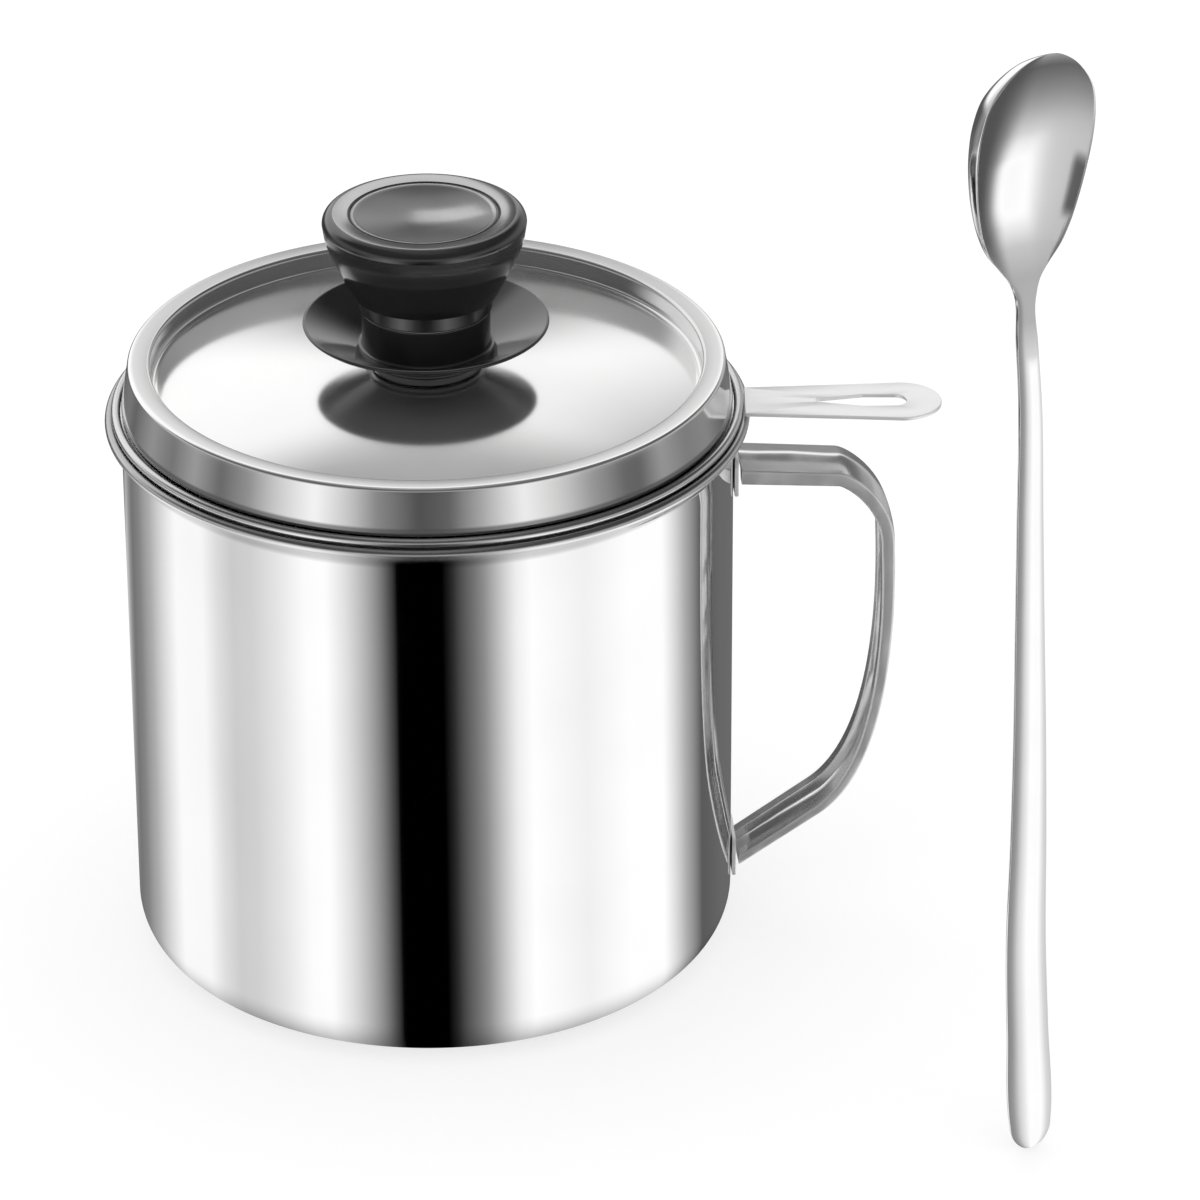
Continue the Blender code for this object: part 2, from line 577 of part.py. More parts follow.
def spoon_stations():
    """Height, half width, hollow depth and thickness of each section, from the tip upwards."""
    stations = []
    for index in range(HANDLE_END_STEPS + 1):
        angle = math.pi / 2 * index / HANDLE_END_STEPS
        width = SPOON_END_WIDTH / 2 * math.sin(angle)
        height = SPOON_TIP_RADIUS * (1 - math.cos(angle))
        thick = SPOON_END_THICKNESS * math.sin(angle)
        stations.append((height, width, 0.0, thick))
    for index in range(1, HANDLE_RUN_STEPS + 1):
        height = SPOON_TIP_RADIUS + (SPOON_NECK_HEIGHT - SPOON_TIP_RADIUS) * index / HANDLE_RUN_STEPS
        share = max(0.0, (height - SPOON_END_HEIGHT) / (SPOON_NECK_HEIGHT - SPOON_END_HEIGHT))
        width = SPOON_END_WIDTH + (SPOON_NECK_WIDTH - SPOON_END_WIDTH) * share**SPOON_TAPER_POWER
        thick = SPOON_END_THICKNESS + (SPOON_NECK_THICKNESS - SPOON_END_THICKNESS) * share
        stations.append((height, width / 2, 0.0, thick))
    length = SPOON_HEIGHT - BOWL_START
    neck_share = BOWL_WIDTH_SHARES[0]
    for place, share in zip(BOWL_PLACE_SHARES, BOWL_WIDTH_SHARES):
        depth = BOWL_DEPTH * (share - neck_share) / (1 - neck_share)
        thin = ease(min(1.0, place / BOWL_THIN_SHARE))
        thick = SPOON_NECK_THICKNESS + (BOWL_THICKNESS - SPOON_NECK_THICKNESS) * thin
        stations.append((BOWL_START + length * place, BOWL_WIDTH / 2 * share, depth, thick))
    stations.append((SPOON_HEIGHT, 0.0, 0.0, 0.0))
    return stations


def spoon_lean(height):
    """Offset of the spoon's middle line towards its hollow side at a height."""
    if height <= BOWL_START:
        return SPOON_LEAN * blend(SPOON_LEAN_SHARES, height / BOWL_START)
    share = (height - BOWL_START) / (SPOON_HEIGHT - BOWL_START)
    return SPOON_LEAN + BOWL_NOD * share


def make_spoon(carrier):
    """Loft from the flat handle through the neck into the hollow bowl, as one solid."""
    turn = math.radians(SPOON_TURN)
    front = Vector((math.sin(turn), -math.cos(turn), 0.0))
    across = Vector((math.cos(turn), math.sin(turn), 0.0))
    rings = []
    for height, half, depth, thick in spoon_stations():
        middle = Vector((0.0, 0.0, height)) + front * spoon_lean(height)
        fore, aft = [], []
        for index in range(SPOON_ACROSS + 1):
            angle = math.pi * index / SPOON_ACROSS
            side = -half * math.cos(angle)
            sag = depth * (1 - abs(math.cos(angle)) ** BOWL_POWER) ** (1 / BOWL_POWER)
            swell = 0.0
            if 0 < index < SPOON_ACROSS:
                swell = thick / 2 * math.sin(angle) ** SPOON_SWELL_POWER
            fore.append(middle + across * side + front * (swell - sag))
            aft.append(middle + across * side - front * (swell + sag))
        rings.append(fore + aft[-2:0:-1])
    loft("spoon", rings, STEEL, carrier)


clear_scene()
keeper = bpy.data.collections.new("Grease_Keeper")
bpy.context.scene.collection.children.link(keeper)
strainer_lift = add_empty("strainer_lift", (0.0, 0.0, STRAINER_HEIGHT))
lid_lift = add_empty("lid_lift", (0.0, 0.0, LID_BASE - STRAINER_HEIGHT), strainer_lift)
spoon_lift = add_empty("spoon_lift", (SPOON_X, SPOON_Y, 0.0))
make_pot()
make_handle()
make_plate("handle_plate_upper", HANDLE_ROOT_HEIGHT - PLATE_DROP)
make_plate("handle_plate_lower", HANDLE_FOOT_HEIGHT + PLATE_LIFT)
make_strainer(strainer_lift)
make_net(strainer_lift)
make_tab(strainer_lift)
make_lid(lid_lift)
make_guard(lid_lift)
make_grip(lid_lift)
make_screw(lid_lift)
make_spoon(spoon_lift)
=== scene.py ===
import math

import bmesh
import bpy
import numpy as np
from mathutils import Matrix, Vector


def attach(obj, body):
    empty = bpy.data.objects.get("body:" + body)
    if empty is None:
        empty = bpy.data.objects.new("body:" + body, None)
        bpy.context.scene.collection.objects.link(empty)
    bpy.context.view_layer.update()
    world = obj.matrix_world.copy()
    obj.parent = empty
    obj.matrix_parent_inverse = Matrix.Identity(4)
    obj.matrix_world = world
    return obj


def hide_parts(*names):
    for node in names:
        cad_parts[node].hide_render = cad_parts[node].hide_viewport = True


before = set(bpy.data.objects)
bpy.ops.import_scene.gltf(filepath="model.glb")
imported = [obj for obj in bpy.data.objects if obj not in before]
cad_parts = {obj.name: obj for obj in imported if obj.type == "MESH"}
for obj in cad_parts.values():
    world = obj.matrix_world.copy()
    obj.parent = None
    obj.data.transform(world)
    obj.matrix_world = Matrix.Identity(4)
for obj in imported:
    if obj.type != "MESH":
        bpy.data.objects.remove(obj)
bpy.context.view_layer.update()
print("frame loaded:", len(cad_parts), "nodes")

# Lengths are in metres, angles in degrees. Every piece has its place in its mesh.
shared = {
    "gap": 0.0003,          # between pieces that touch
    "sheet": 0.0006,        # wall of the pot, the strainer and the lid
    "turnSteps": 192,       # round the pot, the strainer and the lid
    "knobSteps": 128,
    "longestStep": 0.003,   # along a turned outline
    "arcStep": 5.0,         # degrees along a rounded outline
    "endStep": 15.0,        # and across the end of a sheet
    "sharpAngle": 38.0,
    "mergeDistance": 1e-6,
}


# Shapes in the plane

# A circle's points: centre plus radius times (cos, sin), with the angle even from start to end
def arcPoints(centre, radius, start, end):
    steps = max(2, math.ceil(abs(end - start) / shared["arcStep"]))
    angles = np.radians(np.linspace(start, end, steps + 1))
    return np.asarray(centre) + radius * np.stack((np.cos(angles), np.sin(angles)), axis=-1)


# Rows of points joined end to end, without the points that a row repeats
def joinRows(*rows):
    points = np.vstack([np.asarray(row, float).reshape(-1, 2) for row in rows])
    far = np.linalg.norm(np.diff(points, axis=0), axis=1) > shared["mergeDistance"]
    return points[np.concatenate(([True], far))]


# Each stretch is cut into even parts no longer than the limit
def densify(points, longest):
    spans = np.diff(points, axis=0)
    parts = np.maximum(1, np.ceil(np.linalg.norm(spans, axis=1) / longest)).astype(int)
    first = np.repeat(np.arange(len(parts)), parts)
    share = (np.arange(parts.sum()) - np.repeat(np.cumsum(parts) - parts, parts)) / parts[first]
    return np.vstack((points[first] + spans[first] * share[:, None], points[-1:]))


# A polygon whose corners (x, y, radius) are replaced by arcs that touch both of their sides
def roundedRow(corners, closed):
    points = np.array([corner[:2] for corner in corners], float)
    rows = []
    for index, (x, y, radius) in enumerate(corners):
        ends = index in (0, len(corners) - 1) and not closed
        if ends or radius == 0.0:
            rows.append([(x, y)])
            continue
        here = points[index]
        back = points[index - 1] - here
        ahead = points[(index + 1) % len(points)] - here
        back /= np.linalg.norm(back)
        ahead /= np.linalg.norm(ahead)
        half = math.acos(max(-1.0, min(1.0, float(back @ ahead)))) / 2
        middle = (back + ahead) / np.linalg.norm(back + ahead)
        centre = here + middle * radius / math.sin(half)
        start = here + back * radius / math.tan(half) - centre
        end = here + ahead * radius / math.tan(half) - centre
        first = math.degrees(math.atan2(start[1], start[0]))
        turn = math.degrees(math.atan2(end[1], end[0])) - first
        turn = (turn + 180.0) % 360.0 - 180.0
        rows.append(arcPoints(centre, radius, first, first + turn))
    return joinRows(*rows)


# The way along a row of points and the way out on its left, both one long
def alongAndOut(points):
    along = np.gradient(points, axis=0)
    along /= np.linalg.norm(along, axis=1)[:, None]
    return along, np.stack((-along[:, 1], along[:, 0]), axis=-1)


# How far along the row each of its points lies
def wayAlong(points):
    steps = np.linalg.norm(np.diff(points, axis=0), axis=1)
    return np.concatenate(([0.0], np.cumsum(steps)))


def quarterAngles(count):
    return np.radians(np.linspace(0.0, 90.0, count))


# The outline of a sheet: one face, its end, and the face moved to its right by the thickness. The
# end is hollowed by a half circle, so that nothing reaches past the face; a sheet that doesn't
# start on the axis has such an end there too.
def sheetOutline(face, thickness, onAxis):
    along, normals = alongAndOut(face)
    if onAxis:
        normals[0] = (0.0, np.sign(normals[0, 1]))
    other = face - normals * thickness
    swing = np.radians(np.arange(shared["endStep"], 180.0, shared["endStep"]))[:, None]

    def hollowEnd(start, end, ahead):
        middle, reach = (start + end) / 2, (start - end) / 2
        return middle + reach * np.cos(swing) - ahead * thickness / 2 * np.sin(swing)

    rows = [face, hollowEnd(face[-1], other[-1], along[-1]), other[::-1]]
    if not onAxis:
        rows.append(hollowEnd(other[0], face[0], -along[0]))
    return joinRows(*rows)


# A cubic curve: the four points weighted by the Bernstein polynomials of t
def bezierPoints(start, pullA, pullB, end, steps):
    t = np.linspace(0.0, 1.0, steps + 1)[:, None]
    u = 1.0 - t
    return start * u**3 + pullA * 3 * u * u * t + pullB * 3 * u * t * t + end * t**3


# Smooth values through a table: on each stretch a cubic with the table's own slopes at both ends
def smoothTable(places, values, at):
    slopes = np.gradient(values, places, axis=0)
    index = np.clip(np.searchsorted(places, at, side="right") - 1, 0, len(places) - 2)
    run = (places[index + 1] - places[index])[:, None]
    t = (at - places[index])[:, None] / run
    low = values[index] * (1 + 2 * t) * (1 - t) ** 2 + slopes[index] * run * t * (1 - t) ** 2
    high = values[index + 1] * t * t * (3 - 2 * t) + slopes[index + 1] * run * t * t * (t - 1)
    return low + high


# Meshes

# Four-sided faces between neighbours of a grid; a wrapped side joins its end to its start
def gridFaces(rows, columns, wrapRows=False, wrapColumns=False):
    index = np.arange(rows * columns).reshape(rows, columns)
    if wrapRows:
        index = np.vstack((index, index[:1]))
    if wrapColumns:
        index = np.hstack((index, index[:, :1]))
    corners = (index[:-1, :-1], index[:-1, 1:], index[1:, 1:], index[1:, :-1])
    return np.stack(corners, axis=-1).reshape(-1, 4)


# An object put in the scene, with its mesh, light or camera
def addObject(name, data):
    thing = bpy.data.objects.new(name, data)
    bpy.context.scene.collection.objects.link(thing)
    return thing


# A piece from points and faces: doubles merged, faces turned outwards, smooth but for real edges
def addPiece(name, points, faces, finish, body, caps=()):
    mesh = bpy.data.meshes.new(name)
    faces = faces.tolist() + [list(cap) for cap in caps]
    mesh.from_pydata(points.reshape(-1, 3).tolist(), [], faces)
    work = bmesh.new()
    work.from_mesh(mesh)
    bmesh.ops.remove_doubles(work, verts=work.verts, dist=shared["mergeDistance"])
    bmesh.ops.recalc_face_normals(work, faces=work.faces)
    work.to_mesh(mesh)
    work.free()
    mesh.shade_smooth()
    mesh.set_sharp_from_angle(angle=math.radians(shared["sharpAngle"]))
    mesh.materials.append(materials[finish])
    piece = addObject(name, mesh)
    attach(piece, body)
    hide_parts(name)
    return piece


# A turned surface: radius times (cos, sin) of the angle round Z, and the outline's height
def turnedPoints(outline, steps):
    angles = np.linspace(0.0, 2 * math.pi, steps, endpoint=False)
    radius, height = outline[:, :1], outline[:, 1:] + 0 * angles
    return np.stack((radius * np.cos(angles), radius * np.sin(angles), height), axis=-1)


# A piece turned from an outline, which is closed or runs from axis to axis
def addTurned(name, outline, closed, steps, finish, body):
    longest = shared["longestStep"]
    if closed:
        outline = densify(np.vstack((outline, outline[:1])), longest)[:-1]
    else:
        outline = densify(outline, longest)
    faces = gridFaces(len(outline), steps, wrapRows=closed, wrapColumns=True)
    return addPiece(name, turnedPoints(outline, steps), faces, finish, body)


# A turned piece of one sheet, given by the face that runs out from its middle
def addSheet(name, face, onAxis, finish, body):
    face = densify(face, shared["longestStep"])
    outline = sheetOutline(face, shared["sheet"], onAxis)
    addTurned(name, outline, not onAxis, shared["turnSteps"], finish, body)


# A square ring's outline with its outer and its inner edges rounded
def ringOutline(inner, outer, low, high, outerEdge, innerEdge):
    return roundedRow([(outer, high, outerEdge), (outer, low, outerEdge),
                       (inner, low, innerEdge), (inner, high, innerEdge)], True)


# Two faces that close the ends of a tube whose sections are the rows of its grid
def endCaps(rows, columns):
    return [range(columns), range((rows - 1) * columns, rows * columns)]


# Finishes. Each is a shader whose colour, roughness and bump come from patterns in the object's
# own coordinates.

# A socket is linked to another one or given a value
def feed(tree, socket, value):
    if isinstance(value, bpy.types.NodeSocket):
        tree.links.new(value, socket)
    else:
        socket.default_value = value


# A node with its inputs in their order; a setting is an input by its name or a choice of the node
def addNode(tree, kind, *values, **settings):
    node = tree.nodes.new("ShaderNode" + kind)
    for key, value in settings.items():
        if key in node.inputs:
            feed(tree, node.inputs[key], value)
        else:
            setattr(node, key, value)
    for socket, value in zip(node.inputs, values):
        feed(tree, socket, value)
    return node


def addMath(tree, operation, *values):
    return addNode(tree, "Math", *values, operation=operation).outputs[0]


def addVector(tree, operation, *values, **settings):
    node = addNode(tree, "VectorMath", *values, operation=operation, **settings)
    return node.outputs["Value" if operation in ("LENGTH", "DOT_PRODUCT") else "Vector"]


def partOf(tree, source, part):
    return addNode(tree, "SeparateXYZ", source).outputs[part]


# From 0 to 1 between two values, with soft ends
def addFade(tree, source, start, end):
    return addNode(tree, "MapRange", source, start, end, interpolation_type="SMOOTHSTEP").outputs[0]


# Coordinates for marks that run round the Z axis: (distance from the axis, height)
def turnedCoordinates(tree, source):
    x, y, z = (partOf(tree, source, part) for part in "XYZ")
    reach = addVector(tree, "LENGTH", addNode(tree, "CombineXYZ", x, y).outputs[0])
    return addNode(tree, "CombineXYZ", reach, 0.0, z).outputs[0]


# A bump that makes a flat strip mirror as if it were crowned: minus the slope times the root of the
# squares of the way across from a ridge and of the ridge's width; the ridge wanders with a noise
def addCrown(tree, place, crown):
    ridge, slope, width, wander, scale, detail = crown
    along = addNode(tree, "Mapping", place, Scale=(scale, 0.0, scale)).outputs[0]
    noise = addNode(tree, "TexNoise", along, Scale=1.0, Detail=detail).outputs["Fac"]
    middle = addMath(tree, "MULTIPLY_ADD", noise, wander, ridge - wander / 2)
    across = addMath(tree, "SUBTRACT", partOf(tree, place, "Y"), middle)
    squares = addMath(tree, "MULTIPLY_ADD", across, across, width**2)
    height = addMath(tree, "MULTIPLY", addMath(tree, "SQRT", squares), -slope)
    return addNode(tree, "Bump", Height=height, Strength=1.0, Distance=1.0).outputs[0]


# A bump that makes a turned face mirror as if it were more domed: its height falls with the share
# of the way between two radii, and with the cube of that share
def addSwell(tree, flat, swell):
    start, end, even, cubic = swell
    share = addNode(tree, "MapRange", partOf(tree, flat, "X"), start, end).outputs[0]
    first = addMath(tree, "MULTIPLY", share, -even * (end - start))
    cube = addMath(tree, "POWER", share, 3.0)
    height = addMath(tree, "MULTIPLY_ADD", cube, -cubic * (end - start), first)
    return addNode(tree, "Bump", Height=height, Strength=1.0, Distance=1.0).outputs[0]


# Over a zone, between two distances from the axis or two heights, roughness is added and the
# colour is multiplied by a tone. A tone other than one is painted shade or painted light: it
# darkens or lightens the steel where it lies in shade or mirrors something dark, not a colour of
# its own.
def addRoughnessAndPaintedShade(tree, flat, colour, rough, zone):
    part, start, end, extra, tone = zone
    rise = addFade(tree, partOf(tree, flat, part), start, end)
    share = addMath(tree, "MULTIPLY_ADD", rise, tone - 1.0, 1.0)
    return (addVector(tree, "SCALE", colour, Scale=share),
            addMath(tree, "MULTIPLY_ADD", rise, extra, rough))


# Colour between two tones by a coarse noise, then darkened or lightened by the zones as painted
# shade; roughness from the coarse noise plus fine polishing marks, and the zones; bump from the
# fine marks. A finish that isn't turned has its zones by the distance from the middle planes.
def surfacePattern(tree, shader, look):
    place = addNode(tree, "TexCoord").outputs["Object"]
    flat = grain = turnedCoordinates(tree, place)
    if not look["turned"]:
        flat, grain = addVector(tree, "ABSOLUTE", place), place
    stretched = addNode(tree, "Mapping", grain, Scale=look["markStretch"]).outputs[0]
    cloud = addNode(tree, "TexNoise", place, Scale=look["cloudScale"],
                    Detail=look["cloudDetail"]).outputs["Fac"]
    marks = addNode(tree, "TexNoise", stretched, Scale=look["markScale"],
                    Detail=look["markDetail"], Roughness=look["markHarshness"]).outputs["Fac"]
    tones = addNode(tree, "ValToRGB", cloud)
    for element, stop, tone in zip(tones.color_ramp.elements, look["toneStops"], look["tones"]):
        element.position, element.color = stop, (*tone, 1.0)
    mixed = addMath(tree, "MULTIPLY_ADD", marks, look["markShare"], cloud)
    mean, spread = (1 + look["markShare"]) / 2, look["roughSpread"]
    rough = addNode(tree, "MapRange", mixed, mean - spread, mean + spread, *look["roughness"])
    colour, roughness = tones.outputs["Color"], rough.outputs[0]
    for zone in look["zones"]:
        colour, roughness = addRoughnessAndPaintedShade(tree, flat, colour, roughness, zone)
    bump = addNode(tree, "Bump", Height=marks, Strength=look["bumpStrength"],
                   Distance=look["bumpDepth"])
    if "swell" in look:
        feed(tree, bump.inputs["Normal"], addSwell(tree, flat, look["swell"]))
    if "crown" in look:
        feed(tree, bump.inputs["Normal"], addCrown(tree, place, look["crown"]))
    for name, value in (("Base Color", colour), ("Roughness", roughness), ("IOR", look["ior"]),
                        ("Metallic", look["metallic"]), ("Normal", bump.outputs[0])):
        feed(tree, shader.inputs[name], value)


# What a finish doesn't name itself
commonLook = {
    "metallic": 1.0, "ior": 1.5, "turned": False, "zones": (), "toneStops": (0.3, 0.7),
    "cloudDetail": 3.0, "markScale": 1.0, "markStretch": (1.0, 1.0, 1.0), "markDetail": 4.0,
    "markHarshness": 0.6, "markShare": 0.5, "roughSpread": 0.35,
}
finishes = {
    "mirrorSteel": {
        "turned": True, "tones": ((0.815, 0.815, 0.82), (0.84, 0.84, 0.84)),
        "cloudScale": 40.0, "markStretch": (6000.0, 1.0, 2600.0),
        "roughness": (0.025, 0.055), "bumpStrength": 0.10, "bumpDepth": 0.000004,
        # the second zone is painted shade: the top of the pot's rolled rim at half tone, where the
        # strainer's rim shades it
        "zones": (("Z", 0.1195, 0.1216, 0.22, 1.0), ("Z", 0.1230, 0.1238, 0.0, 0.50)),
    },
    "rimSteel": {
        "turned": True, "tones": ((0.81, 0.81, 0.81), (0.84, 0.84, 0.84)),
        "cloudScale": 40.0, "markStretch": (3000.0, 1.0, 2600.0),
        "roughness": (0.20, 0.28), "bumpStrength": 0.10, "bumpDepth": 0.000004,
        # the zone is painted shade: the top of the strainer's rolled rim darker, under the lid's
        # skirt
        "zones": (("Z", 0.1250, 0.1257, 0.0, 0.75),),
    },
    "dishSteel": {
        "metallic": 0.93, "turned": True, "tones": ((0.80, 0.80, 0.80), (0.84, 0.84, 0.835)),
        "cloudScale": 35.0, "markStretch": (2400.0, 1.0, 2400.0), "markShare": 0.6,
        "roughness": (0.12, 0.18), "bumpStrength": 0.06, "bumpDepth": 0.000006,
        # painted shade: the flat ring round the dish darker, the outer edge and skirt back to full
        # tone, and the skirt's curl much darker where it meets the strainer's rim
        "zones": (("X", 0.0576, 0.0584, 0.0, 0.80), ("X", 0.0618, 0.0628, -0.05, 1.25),
                  ("Z", 0.1275, 0.1268, 0.12, 0.40)),
        "swell": (0.013, 0.057, 0.105, 0.022),
    },
    "stripSteel": {
        "metallic": 0.86, "tones": ((0.80, 0.80, 0.805), (0.83, 0.83, 0.83)),
        "cloudScale": 90.0, "markStretch": (500.0, 3000.0, 500.0),
        "roughness": (0.15, 0.24), "bumpStrength": 0.12, "bumpDepth": 0.000006,
        "zones": (("Y", 0.0064, 0.0070, 0.22, 1.0),),
        "crown": (0.0022, 0.46, 0.0018, 0.0034, 62.0, 2.0),
    },
    "tabSteel": {
        "metallic": 0.5, "tones": ((0.87, 0.87, 0.87), (0.91, 0.91, 0.91)),
        "cloudScale": 90.0, "markStretch": (500.0, 3000.0, 500.0),
        "roughness": (0.30, 0.42), "bumpStrength": 0.10, "bumpDepth": 0.000006,
    },
    "spoonSteel": {
        "tones": ((0.83, 0.83, 0.83), (0.86, 0.86, 0.86)),
        "cloudScale": 70.0, "markStretch": (1500.0, 1500.0, 250.0),
        "roughness": (0.09, 0.14), "bumpStrength": 0.08, "bumpDepth": 0.000004,
    },
    "plateSteel": {
        "metallic": 0.4, "tones": ((0.78, 0.78, 0.78), (0.84, 0.84, 0.84)),
        "cloudScale": 160.0, "markScale": 900.0, "markShare": 0.8,
        "roughness": (0.34, 0.46), "bumpStrength": 0.15, "bumpDepth": 0.00001,
    },
    "satinSteel": {
        "tones": ((0.66, 0.66, 0.665), (0.74, 0.74, 0.74)),
        "cloudScale": 160.0, "markScale": 900.0, "markShare": 0.8,
        "roughness": (0.20, 0.34), "bumpStrength": 0.25, "bumpDepth": 0.00002,
    },
    "wireSteel": {
        "tones": ((0.56, 0.56, 0.565), (0.66, 0.66, 0.66)),
        "cloudScale": 300.0, "markScale": 1500.0, "markShare": 0.8,
        "roughness": (0.22, 0.38), "bumpStrength": 0.2, "bumpDepth": 0.00001,
    },
    "blackPhenolic": {
        "metallic": 0.0, "turned": True, "tones": ((0.010, 0.010, 0.0105), (0.016, 0.016, 0.0165)),
        "cloudScale": 120.0, "markStretch": (2200.0, 1.0, 1500.0), "markShare": 0.7,
        "roughness": (0.08, 0.13), "bumpStrength": 0.08, "bumpDepth": 0.000003, "ior": 1.8,
    },
    "blackCap": {
        "metallic": 0.0, "turned": True, "tones": ((0.026, 0.026, 0.027), (0.040, 0.040, 0.042)),
        "cloudScale": 150.0, "markStretch": (1800.0, 1.0, 1800.0), "markShare": 0.7,
        "roughness": (0.12, 0.20), "bumpStrength": 0.08, "bumpDepth": 0.000003, "ior": 1.8,
    },
    "turnedBrass": {
        "turned": True, "tones": ((0.62, 0.42, 0.17), (0.74, 0.52, 0.24)),
        "cloudScale": 260.0, "markStretch": (5000.0, 1.0, 5000.0), "markShare": 0.8,
        "roughness": (0.24, 0.40), "bumpStrength": 0.4, "bumpDepth": 0.00002,
    },
}
materials = {}
for finishName, finish in finishes.items():
    material = bpy.data.materials.new(finishName)
    material.use_nodes = True
    shader = material.node_tree.nodes["Principled BSDF"]
    surfacePattern(material.node_tree, shader, {**commonLook, **finish})
    materials[finishName] = material
print("finishes made:", len(materials))


# Pot: a drawn cup whose rim is rolled outwards
pot = {
    "radius": 0.065,
    "height": 0.12385,
    "corner": 0.0096,
    "bead": 0.0011,        # radius of the rolled rim
    "beadReach": 0.0023,   # from the wall's outer face out to the middle of the roll
    "flare": 0.0045,       # height over which the wall opens out to the roll
    "beadEnd": -100.0,
    "flareSteps": 16,
}
potInside = pot["radius"] - shared["sheet"]
potBeadRadius = pot["radius"] + pot["beadReach"]
potBeadHeight = pot["height"] - pot["bead"]


# The flare's radius goes from the wall to the roll as half a cosine wave of its height
def addPot():
    sheet = shared["sheet"]
    corner = pot["corner"] - sheet
    share = np.linspace(0.0, 1.0, pot["flareSteps"], endpoint=False)
    swing = (1 - np.cos(np.pi * share)) / 2
    flare = np.stack((potInside + (potBeadRadius - pot["bead"] - potInside) * swing,
                      potBeadHeight - pot["flare"] * (1 - share)), axis=-1)
    face = joinRows(
        [(0.0, sheet)],
        arcPoints((potInside - corner, sheet + corner), corner, -90.0, 0.0),
        flare,
        arcPoints((potBeadRadius, potBeadHeight), pot["bead"], 180.0, pot["beadEnd"]),
    )
    addSheet("pot_body", face, True, "mirrorSteel", "pot")


addPot()
print("pot made")

# Handle: a formed strip with hemmed edges
handle = {
    "width": 0.0144,
    "topThickness": 0.0034,
    "lowThickness": 0.0018,
    "reach": 0.0332,       # from the pot's wall out to the middle of the grip
    "rimDrop": 0.01615,    # from the rim down to the top arm's root
    "gripDrop": 0.0178,    # from that root down to where the grip stands upright
    "footHeight": 0.0138,
    "topArm": 0.0210,
    "lowArm": 0.0206,
    "droop": 3.7,
    "rise": 34.9,
    "pulls": (0.0020, 0.0105, 0.0040, 0.0217),
    "crown": 0.0003,
    "edge": 0.0006,
    "hem": 0.0036,
    "skinShare": 0.38,
    "armSteps": 14,
    "topBendSteps": 44,
    "lowBendSteps": 60,
    "crownSteps": 14,
    "cornerAngles": 9,
    "flatSteps": 4,
}
plate = {
    "width": 0.0150, "height": 0.0090, "thickness": 0.0009, "corner": 0.0025,
    "drop": 0.0006, "lift": 0.0002, "edge": 0.00025, "cornerAngles": 10, "edgeAngles": 6,
}
handleRoot = pot["radius"] + shared["gap"] * 2 + plate["thickness"]
handleRootHeight = pot["height"] - handle["rimDrop"]


# Middle line in the XZ plane: a straight arm, a cubic bend to the upright grip, a cubic bend and a
# straight arm
def handlePath():
    fall, climb = math.radians(handle["droop"]), math.radians(handle["rise"])
    out = np.array((math.cos(fall), -math.sin(fall)))
    back = np.array((math.cos(climb), math.sin(climb)))
    down = np.array((0.0, -1.0))
    root = np.array((handleRoot, handleRootHeight))
    foot = np.array((handleRoot, handle["footHeight"]))
    grip = np.array((pot["radius"] + handle["reach"], handleRootHeight - handle["gripDrop"]))
    shoulder = root + out * handle["topArm"]
    heel = foot + back * handle["lowArm"]
    topPull, shoulderPull, gripPull, heelPull = handle["pulls"]
    share = np.linspace(0.0, 1.0, handle["armSteps"] + 1)[:, None]
    return joinRows(
        root + (shoulder - root) * share,
        bezierPoints(shoulder, shoulder + out * topPull, grip - down * shoulderPull, grip,
                     handle["topBendSteps"]),
        bezierPoints(grip, grip + down * gripPull, heel + back * heelPull, heel,
                     handle["lowBendSteps"]),
        heel + (foot - heel) * share,
    )


# Right half of the hemmed section as (across, outwards) for each thickness: crowned face, two
# quarter circles round the edge, the hem, its inner corner and the floor of the groove
def handleSection(thickness):
    half = thickness[:, None] / 2
    side = handle["width"] / 2
    edge = np.minimum(handle["edge"], thickness[:, None] / 3)
    lip = edge / 2
    groove = side - handle["hem"]
    floor = half - thickness[:, None] * handle["skinShare"]
    quarter = quarterAngles(handle["cornerAngles"])[None, :]
    u = np.linspace(0.0, 1.0, handle["crownSteps"], endpoint=False)[None, :]
    even = np.linspace(0.0, 1.0, handle["flatSteps"] + 1)[None, :]
    across = [
        (side - edge) * u,
        side - edge + edge * np.sin(quarter),
        side - edge + edge * np.cos(quarter),
        side - edge + (groove + lip - side + edge) * even[:, 1:-1],
        groove + lip - lip * np.sin(quarter),
        groove * (1 - even[:, 1:]) + 0 * half,
    ]
    away = [
        half + handle["crown"] * (1 - u * u),
        half - edge + edge * np.cos(quarter),
        edge - half - edge * np.sin(quarter),
        -half + 0 * even[:, 1:-1],
        lip - half - lip * np.cos(quarter),
        floor + 0 * even[:, 1:],
    ]
    return np.hstack(across), np.hstack(away)


# Each section stands square to the middle line; the first and the last stand along the pot's wall
def addHandle():
    path = handlePath()
    along, out = alongAndOut(path)
    out[0], out[-1] = (0.0, 1.0), (0.0, -1.0)
    stretch = np.ones(len(path))
    stretch[[0, -1]] = 1 / np.abs(along[[0, -1], 0])
    runs = wayAlong(path)
    change = handle["lowThickness"] - handle["topThickness"]
    thickness = handle["topThickness"] + change * runs / runs[-1]
    across, away = handleSection(thickness)
    across = np.hstack((across, -across[:, -2:0:-1]))
    away = np.hstack((away, away[:, -2:0:-1])) * stretch[:, None]
    x = path[:, :1] + out[:, :1] * away
    z = path[:, 1:] + out[:, 1:] * away
    points = np.stack((x, across, z), axis=-1)
    rows, columns = across.shape
    addPiece("handle_strip", points, gridFaces(rows, columns, wrapColumns=True), "stripSteel",
             "pot", endCaps(rows, columns))


